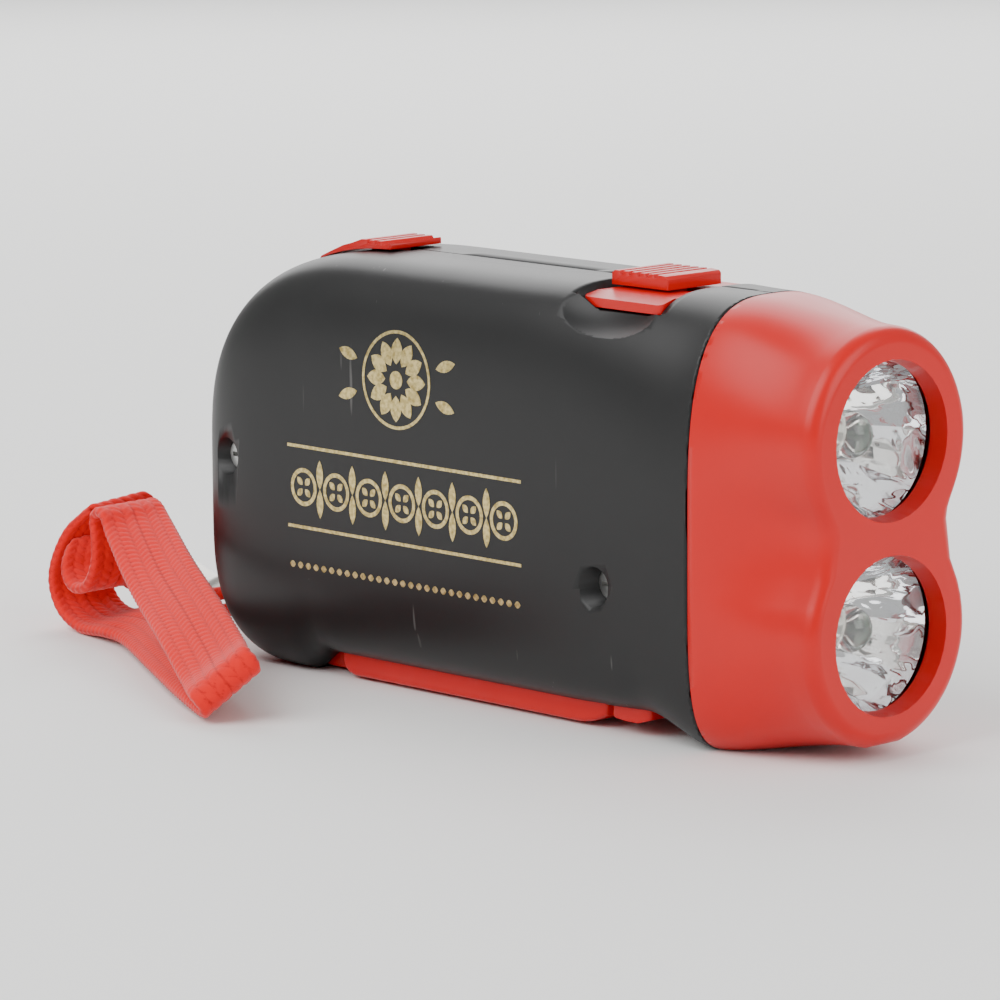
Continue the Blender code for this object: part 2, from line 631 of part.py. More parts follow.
def housing_cuts():
    """Every opening and recess in the housing, as cutters."""
    seam = box((SEAM_X - GAP / 2, -HALF_WIDTH - 5, -10), (FRONT_X, HALF_WIDTH + 5, TOP_Z + 10))
    round_bay = [beyond(PIVOT, LEVER_EAR_RADIUS + 0.4, math.radians(angle)) for angle in range(6, 271, 12)]
    bay_top = round_bay[0][1]
    bay = plate(round_bay + [(PIVOT_X, -2.0), (PIVOT_X + 12.0, -2.0), (PIVOT_X + 12.0, bay_top)],
                -BAY_HALF_WIDTH, BAY_HALF_WIDTH)
    grip_reach = GRIP_HALF_WIDTH + 0.4
    grip_bay = box((GRIP_REAR_X - 1.7, -grip_reach, -2.5), (BAY_FRONT_X, grip_reach, bay_top + 0.2))
    lock_end = LOCK_REAR_X + LOCK_LENGTH + LOCK_TRAVEL + GAP
    lock_pocket = box((BAY_FRONT_X - 0.1, -LOCK_HALF_WIDTH - GAP, -2.0),
                      (lock_end, LOCK_HALF_WIDTH + GAP, LOCK_TOP_Z + GAP))
    lock_slot = box((LOCK_STEM_REAR_X - GAP, -LOCK_STEM_HALF_WIDTH - GAP, 0.0),
                    (LOCK_STEM_REAR_X + LOCK_STEM_LENGTH + LOCK_TRAVEL + GAP, LOCK_STEM_HALF_WIDTH + GAP,
                     LOCK_FLOOR_Z + 1.0))
    recess = box((RECESS_REAR_X, -PLATE_HALF_WIDTH - GAP, RECESS_FLOOR_Z),
                 (RECESS_FRONT_X, PLATE_HALF_WIDTH + GAP, TOP_Z + 3))
    stem_reach = STEM_HALF_LENGTH + GAP
    front_slot = box((FRONT_STEM_X - stem_reach, -STEM_HALF_WIDTH - GAP, RECESS_WALL_Z - 1.0),
                     (FRONT_STEM_X + stem_reach + FRONT_TRAVEL, STEM_HALF_WIDTH + GAP, RECESS_FLOOR_Z + 1.0))
    rear_slot = box((REAR_STEM_X - STEM_HALF_LENGTH - GAP - REAR_TRAVEL, -STEM_HALF_WIDTH - GAP, SWITCH_TOP_Z),
                    (REAR_CAP_FRONT_X + 0.8, STEM_HALF_WIDTH + GAP, TOP_Z + 3))
    pocket = box((REAR_X - 3, -STRAP_POCKET_HALF_WIDTH, STRAP_BAR_Z - 3.4),
                 (STRAP_BAR_X + 3.4, STRAP_POCKET_HALF_WIDTH, STRAP_BAR_Z + 3.4))
    bar_hole = rod(STRAP_BAR_X, STRAP_BAR_Z, -STRAP_POCKET_HALF_WIDTH - 1.3, STRAP_POCKET_HALF_WIDTH + 1.3,
                   STRAP_BAR_RADIUS + BORE_CLEARANCE, 12)
    cuts = [seam, bay, grip_bay, lock_pocket, lock_slot, recess, front_slot, rear_slot, pocket, bar_hole]
    for side in (-1, 1):
        scoop = bmesh.new()
        bmesh.ops.create_uvsphere(scoop, u_segments=32, v_segments=16, radius=1.0)
        centre = Vector((SCOOP_X, side * SCOOP_SIDE_Y, SCOOP_Z))
        for vert in scoop.verts:
            vert.co = centre + vert.co * Vector(SCOOP_RADII)
        cuts.append(scoop)
    pin_reach = BAY_HALF_WIDTH + 2.0
    cuts.append(rod(*PIVOT, -pin_reach, pin_reach, LEVER_PIN_RADIUS + BORE_CLEARANCE))
    for place in SCREW_PLACES:
        cuts.append(rod(*place, -HALF_WIDTH - 3, HEAD_SEAT_Y + GAP, SCREW_HOLE_RADIUS, 24))
        cuts.append(rod(*place, HEAD_SEAT_Y, SCREW_END_Y + GAP, SCREW_SHANK_RADIUS + BORE_CLEARANCE, 12))
    for place, low, high in axle_spans():
        if low < GEAR_PLATE_BACK_Y:
            cuts.append(rod(*place, low - GAP, MAGNET_BACK_Y, BORE_RADIUS, 12))
        cuts.append(rod(*place, 1.0, high + GAP, BORE_RADIUS, 12))
    return cuts


def axle_spans():
    """Place and Y reach of the three axles."""
    return ((FIRST, GEAR_PLATE_BACK_Y, 9.2), (SECOND, GEAR_PLATE_BACK_Y, 9.7), (ROTOR, -11.2, 9.7))


def gear_plate_posts():
    front, low, high = ROTOR[0] + 14.0, FIRST[1] - 2.5, ROTOR[1] + 2.0
    return ((front, low), (front, high), (ROTOR[0] - 4.5, low + 1.0))


def make_housing():
    cavity = cavity_form()
    reach = HALF_WIDTH - 1.0
    solid_parts = thick_walls() + lower_blocks()
    solid_parts += [rod(*place, -reach, reach, BOSS_RADIUS) for place in SCREW_PLACES]
    for side in (-1, 1):
        solid_parts += bosses(side) + ledges(side)
    cavity = cut(cavity, *solid_parts)
    shell = cut(outer_form(), cavity)
    shell = cut(shell, *housing_cuts())
    reach = LENGTH
    for name, side in (("housing_right", -1), ("housing_left", 1)):
        near, far = sorted((side * GAP / 2, side * reach))
        half = combine(shell.copy(), box((-reach, near, -reach), (reach, far, 2 * reach)), "INTERSECT")
        finish(name, half, BLACK)
    shell.free()


def make_bezel():
    outer = [bezel_ring(SEAM_X + GAP / 2, 0.0, RING_POINTS)]
    for share in (0.2, 0.38, 0.54, 0.68, 0.8):
        outer.append(bezel_ring(SEAM_X + BEZEL_LENGTH * share, 0.0, RING_POINTS))
    for degrees in (5, 22, 40, 58, 74, 90):
        x = FRONT_X - BEZEL_EDGE_RADIUS * (1 - math.sin(math.radians(degrees)))
        outer.append(bezel_ring(x, 0.0, RING_POINTS))
    bezel = loft(outer)
    lip = WALL + GAP
    inner = lip + 1.0
    tabs = loft([body_ring(SEAM_X - TAB_LENGTH, lip, RING_POINTS // 2, floor=lip),
                 bezel_ring(SEAM_X, lip, RING_POINTS // 2, floor=lip),
                 bezel_ring(SEAM_X + 2.0, lip + 0.1, RING_POINTS // 2, floor=lip)])
    reach = HALF_WIDTH + 1.0
    tab_span = box((SEAM_X - TAB_LENGTH - 1, -reach, TAB_LOW_Z), (FRONT_X, reach, TAB_HIGH_Z))
    tabs = combine(tabs, tab_span, "INTERSECT")
    bezel = join(bezel, tabs)
    hollow = [body_ring(SEAM_X - TAB_LENGTH - 1.0, inner, RING_POINTS // 2, floor=inner),
              bezel_ring(SEAM_X + 0.1, inner, RING_POINTS // 2, floor=inner),
              bezel_ring(SEAM_X + 1.6, inner, RING_POINTS // 2, floor=inner)]
    places = [SEAM_X + BEZEL_LENGTH * share for share in (0.16, 0.35, 0.54)] + [REFLECTOR_FRONT_X - 1.0]
    for x in places:
        hollow.append(bezel_ring(x, BEZEL_WALL, RING_POINTS // 2, floor=BEZEL_WALL))
    hollow = loft(hollow)
    for side in (-1, 1):
        near, far = sorted((side * (LED_BOARD_WIDTH / 2 - 1.0), side * HALF_WIDTH))
        hollow = cut(hollow, box((LED_BOARD_X + GAP, near, LENS_CENTRE_Z - 2.0),
                                 (LED_BOARD_X + 4.3, far, LENS_CENTRE_Z + 2.0)))
    bezel = cut(bezel, hollow)
    for z in LAMP_Z:
        shelf_x, seat_radius = FRONT_X - OPENING_DEPTH, LENS_RADIUS + GAP
        profile = [(REFLECTOR_FRONT_X - 2.0, 0), (REFLECTOR_FRONT_X - 2.0, seat_radius), (shelf_x, seat_radius),
                   (shelf_x, OPENING_RADIUS - OPENING_TAPER), (FRONT_X + 0.01, OPENING_RADIUS),
                   (FRONT_X + 1.0, OPENING_RADIUS), (FRONT_X + 1.0, 0)]
        bezel = cut(bezel, turned(profile, "X", (0, 0, z), 40))
    finish("bezel", bezel, RED)


# Lamps

def make_lamps():
    for name, z in zip(("upper", "lower"), LAMP_Z):
        place = (0, 0, z)
        disc = [(LENS_REAR_X, 0), (LENS_REAR_X, LENS_RADIUS), (LENS_FRONT_X, LENS_RADIUS), (LENS_FRONT_X, 0)]
        finish("lens_" + name, turned(disc, "X", place, 36), CLEAR)
        bowl = []
        steps = 6
        for index in range(steps + 1):
            along = index / steps
            radius = REFLECTOR_HOLE + (REFLECTOR_MOUTH - REFLECTOR_HOLE) * math.sqrt(along)
            bowl.append((REFLECTOR_REAR_X + REFLECTOR_DEPTH * along, radius))
        back = [(x, radius + REFLECTOR_WALL) for x, radius in reversed(bowl)]
        finish("reflector_" + name, turned(bowl + back + bowl[:1], "X", place, 28), CHROME, angle=50)
        flange = REFLECTOR_HOLE - GAP
        body = [(REFLECTOR_REAR_X, 0), (REFLECTOR_REAR_X, flange), (REFLECTOR_REAR_X + 1.0, flange),
                (REFLECTOR_REAR_X + 1.0, LED_RADIUS)]
        dome_x = REFLECTOR_REAR_X + LED_LENGTH - LED_RADIUS
        for degrees in (0, 30, 60):
            turn = math.radians(degrees)
            body.append((dome_x + LED_RADIUS * math.sin(turn), LED_RADIUS * math.cos(turn)))
        body.append((dome_x + LED_RADIUS, 0))
        finish("led_" + name, turned(body, "X", place, 16), LED_EPOXY)
    board = box((LED_BOARD_X - LED_BOARD_THICKNESS, -LED_BOARD_WIDTH / 2, LAMP_Z[1] - 5.0),
                (LED_BOARD_X, LED_BOARD_WIDTH / 2, LAMP_Z[0] + 5.0))
    finish("led_board", board, BOARD)


# Gears

def involute(angle):
    return math.tan(angle) - angle


def tooth_row(module, teeth, first, count):
    """Outline of count teeth as (radius, angle), the first tooth centred at angle first."""
    pressure = math.radians(20)
    pitch = module * teeth / 2
    base = pitch * math.cos(pressure)
    tip, root = pitch + 0.7 * module, pitch - 1.25 * module
    start = max(base, root)
    half_pitch = math.pi / (2 * teeth) - TOOTH_THINNING * module / (2 * pitch)

    def half_angle(radius):
        if radius <= base:
            return half_pitch + involute(pressure)
        return half_pitch + involute(pressure) - involute(math.acos(base / radius))

    points = []
    for index in range(count):
        centre = first + index * 2 * math.pi / teeth
        for radius in (root, (start + tip) / 2, tip):
            points.append((radius, centre - half_angle(radius)))
        for radius in (tip, (start + tip) / 2, root):
            points.append((radius, centre + half_angle(radius)))
    return points


def placed(points, centre):
    return [beyond(centre, radius, angle) for radius, angle in points]


def gear(module, teeth, centre, first, low_y, high_y):
    return plate(placed(tooth_row(module, teeth, first, teeth), centre), low_y, high_y)


def make_compound(name, centre, driver_angle, driven_angle, pinion_y, wheel_y, pinion_module, wheel_module):
    """Wheel and pinion in one moulding. The pinion has a gap towards its driver, the wheel a tooth ahead."""
    facing = driver_angle + math.pi + math.pi / PINION_TEETH
    pinion = gear(pinion_module, PINION_TEETH, centre, facing, *pinion_y)
    wheel = gear(wheel_module, WHEEL_TEETH, centre, driven_angle, *wheel_y)
    body = join(wheel, pinion)
    body = cut(body, rod(*centre, -HALF_WIDTH, HALF_WIDTH, BORE_RADIUS, 12))
    finish(name, body, WHITE, origin=(centre[0], 0, centre[1]))


def make_gears():
    first_end = FIRST_WHEEL_Y + WHEEL_THICKNESS
    make_compound("first_gear", FIRST, MESH_ANGLE, SECOND_GEAR_ANGLE, (-SECTOR_Y, FIRST_WHEEL_Y + 0.3),
                  (FIRST_WHEEL_Y, first_end), FIRST_MODULE, SECOND_MODULE)
    make_compound("second_gear", SECOND, SECOND_GEAR_ANGLE, ROTOR_ANGLE,
                  (FIRST_WHEEL_Y - 0.2, SECOND_WHEEL_Y + 0.3), (SECOND_WHEEL_Y, TRAIN_END_Y),
                  SECOND_MODULE, SECOND_MODULE)
    facing = ROTOR_ANGLE + math.pi + math.pi / PINION_TEETH
    hub = gear(SECOND_MODULE, PINION_TEETH, ROTOR, facing, SECOND_WHEEL_Y - 0.2, TRAIN_END_Y + 0.2)
    hub = join(hub, rod(*ROTOR, MAGNET_BACK_Y, SECOND_WHEEL_Y + 0.2, HUB_RADIUS))
    hub = cut(hub, rod(*ROTOR, -HALF_WIDTH, HALF_WIDTH, BORE_RADIUS, 12))
    finish("rotor_hub", hub, WHITE, origin=(ROTOR[0], 0, ROTOR[1]))
    ring = sleeve(*ROTOR, MAGNET_BACK_Y, MAGNET_Y, MAGNET_RADIUS, HUB_RADIUS + GAP, 32)
    finish("magnet_ring", ring, FERRITE, origin=(ROTOR[0], 0, ROTOR[1]))
    for name, (place, low, high) in zip(("first_axle", "second_axle", "rotor_axle"), axle_spans()):
        finish(name, rod(*place, low, high, AXLE_RADIUS, 12), STEEL)


def make_gear_plate():
    posts = gear_plate_posts()
    left = min(x for x, z in posts) - 2.2
    right = max(x for x, z in posts) + 2.0
    low = min(z for x, z in posts) - 2.2
    high = max(z for x, z in posts) + 2.2
    outline = [(left, low), (right, low), (right, high), (ROTOR[0] - 4.0, high), (left, ROTOR[1] - 4.0)]
    body = plate(outline, GEAR_PLATE_BACK_Y, GEAR_PLATE_Y)
    tools = [rod(*place, -HALF_WIDTH, 0, BORE_RADIUS, 12) for place in (FIRST, SECOND)]
    tools.append(rod(*ROTOR, -HALF_WIDTH, 0, HUB_RADIUS + 0.4, 16))
    finish("gear_plate", cut(body, *tools), WHITE)


# Generator

def make_generator():
    near, far = STATOR_BACK_Y, STATOR_FRONT_Y
    left, right = ROTOR[0] - POLE_REACH, ROTOR[0] + POLE_REACH
    rear = STATOR_REAR_X
    arm = LIMB_WIDTH - 0.2
    slot = 1.4
    outline = [(right, ROTOR[1] + slot), (right, STATOR_TOP_Z), (rear, STATOR_TOP_Z), (rear, STATOR_LOW_Z),
               (right, STATOR_LOW_Z), (right, ROTOR[1] - slot), (left, ROTOR[1] - slot),
               (left, STATOR_LOW_Z + arm), (rear + LIMB_WIDTH, STATOR_LOW_Z + arm),
               (rear + LIMB_WIDTH, STATOR_TOP_Z - arm), (left, STATOR_TOP_Z - arm), (left, ROTOR[1] + slot)]
    core = cut(plate(outline, near, far), rod(*ROTOR, near - 1, far + 1, STATOR_BORE, 40))
    finish("stator_core", core, IRON)
    middle = (rear + LIMB_WIDTH / 2, STATOR_Y)
    low, high = STATOR_LOW_Z + arm + GAP, STATOR_TOP_Z - arm - GAP
    inner = (LIMB_WIDTH / 2 + GAP, STATOR_THICKNESS / 2 + GAP)
    wall, flange_height = 0.9, 1.0

    def block(half_x, half_y, start, end):
        return box((middle[0] - half_x, middle[1] - half_y, start), (middle[0] + half_x, middle[1] + half_y, end))

    bobbin = block(inner[0] + wall, inner[1] + wall, low, high)
    flange = COIL_RADIUS - 0.3
    for z in (low, high - flange_height):
        bobbin = join(bobbin, block(flange, flange, z, z + flange_height))
    bobbin = cut(bobbin, block(*inner, low - 1, high + 1))
    finish("coil_bobbin", bobbin, WHITE)
    turns = bmesh.new()
    depth = high - low - 2 * (flange_height + GAP)
    bmesh.ops.create_cone(turns, segments=24, radius1=COIL_RADIUS, radius2=COIL_RADIUS, depth=depth, cap_ends=True)
    bmesh.ops.translate(turns, vec=(middle[0], middle[1], (low + high) / 2), verts=turns.verts)
    turns = cut(turns, block(inner[0] + wall + GAP, inner[1] + wall + GAP, low, high))
    finish("coil_winding", turns, COPPER)


# Lever

def make_lever():
    ear = [beyond(PIVOT, LEVER_EAR_RADIUS, math.radians(angle)) for angle in range(90, 271, 12)]
    nose = [(LEVER_END_X - run, LEVER_BOTTOM_Z + rise) for run, rise in
            ((5.6, 0.0), (4.2, 0.05), (2.6, 0.35), (1.2, 0.9), (0.3, 1.35), (0.0, 1.8))]
    front = [(LEVER_END_X, LEVER_TOP_Z)]
    body = plate(ear + nose + front + [(PIVOT_X + 7.5, LEVER_TOP_Z)], -LEVER_HALF_WIDTH, LEVER_HALF_WIDTH)
    heel = [(GRIP_REAR_X + run, LEVER_BOTTOM_Z + rise) for run, rise in
            ((1.2, 6.0), (0.0, 4.8), (0.0, 1.8), (0.35, 0.9), (1.0, 0.3), (2.2, 0.0))]
    body = join(body, plate(heel + nose + front, -GRIP_HALF_WIDTH, GRIP_HALF_WIDTH))
    inner = LEVER_HALF_WIDTH - LEVER_WALL
    grip_inner = GRIP_HALF_WIDTH - LEVER_WALL
    floor_z = LEVER_BOTTOM_Z + LEVER_WALL
    end_x = LEVER_END_X - LEVER_WALL - 1.0
    body = cut(body, rod(*PIVOT, -inner, inner, PIVOT_Z - floor_z, 32),
               box((PIVOT_X, -inner, floor_z), (end_x, inner, PIVOT_Z + 10)),
               box((GRIP_REAR_X + 4.0, -grip_inner, floor_z), (end_x, grip_inner, PIVOT_Z + 10)))
    pitch = 2 * math.pi / SECTOR_TEETH
    teeth = tooth_row(FIRST_MODULE, SECTOR_TEETH, MESH_ANGLE - pitch, SECTOR_SHOWN)
    root = teeth[0][0]
    first_land = (root, MESH_ANGLE - 1.5 * pitch)
    last_land = (root, MESH_ANGLE + (SECTOR_SHOWN - 1.5) * pitch)
    web_rim = root - 3.6
    inner_arc = []
    for share in (0.0, 0.25, 0.5, 0.75, 1.0):
        inner_arc.append((web_rim, last_land[1] + share * (MESH_ANGLE - last_land[1])))
    web = placed([first_land] + teeth + [last_land] + inner_arc, PIVOT)
    web_z = LEVER_BOTTOM_Z + LEVER_WALL / 2
    web += [(PIVOT_X + 16.6, web_z), (PIVOT_X + 28.0, web_z)]
    body = join(body, plate(web, -SECTOR_Y, SECTOR_Y))
    body = cut(body, rod(*PIVOT, -HALF_WIDTH, HALF_WIDTH, LEVER_PIN_RADIUS + BORE_CLEARANCE))
    finish("squeeze_lever", body, RED, origin=(PIVOT_X, 0, PIVOT_Z))
    pin_reach = BAY_HALF_WIDTH + 2.0 - GAP
    finish("lever_pin", rod(*PIVOT, -pin_reach, pin_reach, LEVER_PIN_RADIUS, 14), STEEL)


def tube(name, points, radius, look, resolution=1):
    """Round wire or cord through points in millimetres."""
    curve = bpy.data.curves.new(name, "CURVE")
    curve.dimensions = "3D"
    curve.bevel_depth = radius * MM
    curve.bevel_resolution = resolution
    curve.use_fill_caps = True
    line = curve.splines.new("POLY")
    line.points.add(len(points) - 1)
    for place, point in zip(line.points, points):
        place.co = (*(Vector(point) * MM), 1.0)
    curve.materials.append(material(*look))
    made = bpy.data.objects.new(name, curve)
    bpy.context.scene.collection.objects.link(made)
    return made


def make_lever_spring():
    """Torsion spring round the lever's pin, with one leg on the lever and one up into the housing."""
    radius, wire, pitch, turns, steps = 2.3, 0.35, 1.15, 2.5, 10
    start_y = -LEVER_HALF_WIDTH + LEVER_WALL + 1.0
    points = [(PIVOT_X + 9.0, start_y, LEVER_BOTTOM_Z + LEVER_WALL + GAP + wire)]
    for index in range(int(turns * steps) + 1):
        turn = math.radians(-90) - 2 * math.pi * index / steps
        x, z = beyond(PIVOT, radius, turn)
        points.append((x, start_y + pitch * index / steps, z))
    points.append((PIVOT_X + 7.0, start_y + pitch * turns, PIVOT_Z + radius + 1.5))
    tube("lever_spring", points, wire, STEEL)


def make_lock():
    rear, front = LOCK_REAR_X, LOCK_REAR_X + LOCK_LENGTH
    outline = [(rear, LOCK_BOTTOM_Z + 0.5), (rear + 0.8, LOCK_BOTTOM_Z + 0.15), (rear + 2.4, LOCK_BOTTOM_Z),
               (front - 2.0, LOCK_BOTTOM_Z), (front, LOCK_BOTTOM_Z + 0.6),
               (front, LOCK_TOP_Z), (rear, LOCK_TOP_Z)]
    body = plate(outline, -LOCK_HALF_WIDTH, LOCK_HALF_WIDTH)
    stem_end = LOCK_STEM_REAR_X + LOCK_STEM_LENGTH
    flange_z = LOCK_FLOOR_Z + GAP
    half = LOCK_STEM_HALF_WIDTH
    stem = box((LOCK_STEM_REAR_X, -half, LOCK_TOP_Z - 0.5), (stem_end, half, flange_z + 0.5))
    flange = box((LOCK_STEM_REAR_X - 0.8, -half - 1.8, flange_z),
                 (stem_end + 1.0, half + 1.8, flange_z + 1.0))
    body = join(body, stem, flange)
    finish("lock_slide", body, RED, origin=(rear, 0, LOCK_TOP_Z))


# Top slides and switches

def ribbed_top(low_x, high_x, top_z, depth):
    """Points along a ribbed surface, saw-toothed from low_x to high_x."""
    points = []
    count = int((high_x - low_x) / RIB_PITCH)
    for index in range(count):
        x = low_x + index * RIB_PITCH
        points += [(x, top_z), (x + RIB_PITCH * 0.55, top_z), (x + RIB_PITCH * 0.75, top_z - depth),
                   (x + RIB_PITCH * 0.9, top_z - depth)]
    return points


def stem_with_socket(stem_x, top_z):
    """Stem down to the slide switch, with a socket for the switch's nub."""
    half = STEM_HALF_LENGTH
    stem = box((stem_x - half, -STEM_HALF_WIDTH, SWITCH_TOP_Z + GAP), (stem_x + half, STEM_HALF_WIDTH, top_z))
    socket = box((stem_x - 0.9, -1.0, SWITCH_TOP_Z), (stem_x + 0.9, 1.0, SWITCH_TOP_Z + 1.6))
    return cut(stem, socket)


def make_front_slide():
    rear, front = CAP_REAR_X, CAP_REAR_X + CAP_LENGTH
    ribs = ribbed_top(rear + 0.6, front - 1.7, CAP_TOP_Z, RIB_DEPTH)
    outline = [(rear, CAP_BOTTOM_Z), (rear, CAP_TOP_Z - 0.4)] + ribs
    outline += [(front - 1.7, CAP_TOP_Z), (front - 0.4, CAP_TOP_Z - 0.1), (front, CAP_TOP_Z - 0.5),
                (front, CAP_BOTTOM_Z)]
    cap = plate(outline, -CAP_HALF_WIDTH, CAP_HALF_WIDTH)
    cap = join(cap, stem_with_socket(FRONT_STEM_X, CAP_BOTTOM_Z + 0.5))
    finish("front_switch_cap", cap, RED, origin=(FRONT_STEM_X, 0, CAP_BOTTOM_Z))
    low, high = PLATE_REAR_X, PLATE_REAR_X + PLATE_LENGTH
    outline = [(low, PLATE_BOTTOM_Z), (high, PLATE_BOTTOM_Z), (high, PLATE_TOP_Z), (low + 0.4, PLATE_TOP_Z),
               (low, PLATE_TOP_Z - 0.4)]
    base = plate(outline, -PLATE_HALF_WIDTH, PLATE_HALF_WIDTH)
    for side in (-1, 1):
        edge = box((low - 1, -1.3, 0.0), (high + 1, 1.3, 1.0))
        slope = math.atan2(PLATE_EDGE_DROP, PLATE_EDGE_RUN)
        for vert in edge.verts:
            y, z = vert.co.y + 0.9, vert.co.z
            vert.co.y = side * (PLATE_HALF_WIDTH - PLATE_EDGE_RUN + y * math.cos(slope) + z * math.sin(slope))
            vert.co.z = PLATE_TOP_Z - y * math.sin(slope) + z * math.cos(slope)
        bmesh.ops.recalc_face_normals(edge, faces=edge.faces)
        base = cut(base, edge)
    reach = STEM_HALF_LENGTH + GAP
    base = cut(base, box((FRONT_STEM_X - reach, -STEM_HALF_WIDTH - GAP, PLATE_BOTTOM_Z - 1),
                         (FRONT_STEM_X + reach + FRONT_TRAVEL, STEM_HALF_WIDTH + GAP, PLATE_TOP_Z + 1)))
    finish("front_switch_plate", base, RED)


def make_rear_slide():
    front, rear = REAR_CAP_FRONT_X, REAR_CAP_FRONT_X - REAR_CAP_LENGTH
    ribs_start = front - 5.2
    top_z = TOP_Z + GAP + REAR_CAP_HEIGHT
    lower = [(x, top_height(x, 0.0) + GAP) for x in (rear, rear + 2, rear + 4.2, rear + 6.5, rear + 9.2, front)]
    upper = []
    for x in (rear + 0.3, rear + 2, rear + 4.2, rear + 6.0):
        thickness = 0.25 + (REAR_CAP_HEIGHT - 0.25) * smooth(rear, rear + 6.0, x)
        upper.append((x, top_height(x, 0.0) + GAP + thickness))
    upper += ribbed_top(ribs_start, front, top_z, RIB_DEPTH) + [(front - 0.2, top_z - 0.1), (front, top_z - 0.4)]
    cap = plate(lower + list(reversed(upper)), -REAR_CAP_HALF_WIDTH, REAR_CAP_HALF_WIDTH)
    cap = join(cap, stem_with_socket(REAR_STEM_X, TOP_Z + GAP + 0.4))
    finish("rear_slide_cap", cap, RED, origin=(REAR_STEM_X, 0, TOP_Z))


def make_switches():
    for name, stem_x, travel in (("front", FRONT_STEM_X, FRONT_TRAVEL), ("rear", REAR_STEM_X, -REAR_TRAVEL)):
        middle = stem_x + travel / 2
        half = SWITCH_LENGTH / 2
        can = box((middle - half, -SWITCH_HALF_WIDTH, SWITCH_Z), (middle + half, SWITCH_HALF_WIDTH, SWITCH_TOP_Z))
        reach = abs(travel) / 2 + 0.9
        can = cut(can, box((middle - reach, -1.1, SWITCH_TOP_Z - 1.6), (middle + reach, 1.1, SWITCH_TOP_Z + 1)))
        finish(name + "_switch_body", can, STEEL)
        nub = box((stem_x - 0.6, -0.7, SWITCH_TOP_Z - 1.3), (stem_x + 0.6, 0.7, SWITCH_TOP_Z + 1.3))
        finish(name + "_switch_nub", nub, DARK, origin=(stem_x, 0, SWITCH_TOP_Z))


# Electronics

def make_electronics():
    board = box((BOARD_REAR_X, -BOARD_HALF_WIDTH, BOARD_Z), (BOARD_FRONT_X, BOARD_HALF_WIDTH, BOARD_TOP_Z))
    finish("circuit_board", board, BOARD)
    chip_x = REAR_STEM_X + 18.0
    finish("rectifier_chip", box((chip_x, -2.0, SWITCH_Z), (chip_x + 5.0, 2.0, SWITCH_Z + 1.7)), DARK)
    can_radius = 2.2
    can_x = chip_x + 8.0
    can = turned([(can_x, 0), (can_x, can_radius), (can_x + 7.0, can_radius), (can_x + 7.0, 0)], "X",
                 (0, 3.5, SWITCH_Z + can_radius), 16)
    finish("smoothing_capacitor", can, DARK)
    cell_z = BOARD_Z - GAP - 0.4 - CELL_RADIUS
    for name, low in (("coin_cell_right", -CELL_THICKNESS - GAP / 2), ("coin_cell_left", GAP / 2)):
        finish(name, rod(CELL_X, cell_z, low, low + CELL_THICKNESS, CELL_RADIUS, 32), NICKEL)
    side = CELL_THICKNESS + GAP * 1.5
    holder_low = cell_z - CELL_RADIUS
    holder = box((CELL_X - 10.3, side, holder_low), (CELL_X + 9.0, side + 1.2, BOARD_Z - GAP))
    finish("cell_holder", holder, DARK)
    contact = box((CELL_X - 3.0, -side - 0.5, cell_z - 7.0), (CELL_X + 3.0, -side, BOARD_Z - GAP))
    finish("cell_contact", contact, STEEL)
    radius = 0.5
    start = (BOARD_FRONT_X - 4.0, SWITCH_Z + radius)
    corner = (BOARD_FRONT_X + 4.5, start[1] + 0.5)
    end = (LED_BOARD_X - LED_BOARD_THICKNESS - GAP, BOARD_Z - 3.0)
    for name, y in (("lamp_wire_right", -2.5), ("lamp_wire_left", 2.5)):
        points = []
        for step in range(8):
            t = step / 7
            x = (1 - t) ** 2 * start[0] + 2 * t * (1 - t) * corner[0] + t * t * end[0]
            z = (1 - t) ** 2 * start[1] + 2 * t * (1 - t) * corner[1] + t * t * end[1]
            points.append((x, y, z))
        tube(name, points, radius, WIRE)


# Fasteners and strap anchor

def make_fasteners():
    for name, (x, z) in zip(("housing_screw_rear", "housing_screw_front"), SCREW_PLACES):
        profile = [(HEAD_TOP_Y, 0), (HEAD_TOP_Y, SCREW_HEAD_RADIUS - 0.35), (HEAD_TOP_Y + 0.35, SCREW_HEAD_RADIUS),
                   (HEAD_SEAT_Y, SCREW_HEAD_RADIUS), (HEAD_SEAT_Y, SCREW_SHANK_RADIUS),
                   (SCREW_END_Y - 0.6, SCREW_SHANK_RADIUS), (SCREW_END_Y, SCREW_SHANK_RADIUS - 0.5),
                   (SCREW_END_Y, 0)]
        screw = turned(profile, "Y", (x, 0, z), 16)
        depth = HEAD_TOP_Y + 0.8
        slots = join(box((x - 1.2, HEAD_TOP_Y - 1, z - 0.28), (x + 1.2, depth, z + 0.28)),
                     box((x - 0.28, HEAD_TOP_Y - 1, z - 1.2), (x + 0.28, depth - 0.05, z + 1.2)))
        finish(name, cut(screw, slots), STEEL)
    reach = STRAP_POCKET_HALF_WIDTH + 1.0
    finish("strap_bar", rod(STRAP_BAR_X, STRAP_BAR_Z, -reach, reach, STRAP_BAR_RADIUS, 12), STEEL)


def smoothed(course, steps):
    """Smooth run through rows of numbers, with steps stretches between each two."""
    rows = [Vector(row) for row in course]
    rows = [2 * rows[0] - rows[1]] + rows + [2 * rows[-1] - rows[-2]]
    run = []
    for index in range(1, len(rows) - 2):
        before, start, end, after = rows[index - 1:index + 3]
        for step in range(steps):
            t = step / steps
            run.append(0.5 * (2 * start + (end - before) * t + (2 * before - 5 * start + 4 * end - after) * t * t
                              + (3 * start - before - 3 * end + after) * t ** 3))
    run.append(rows[-2])
    return run


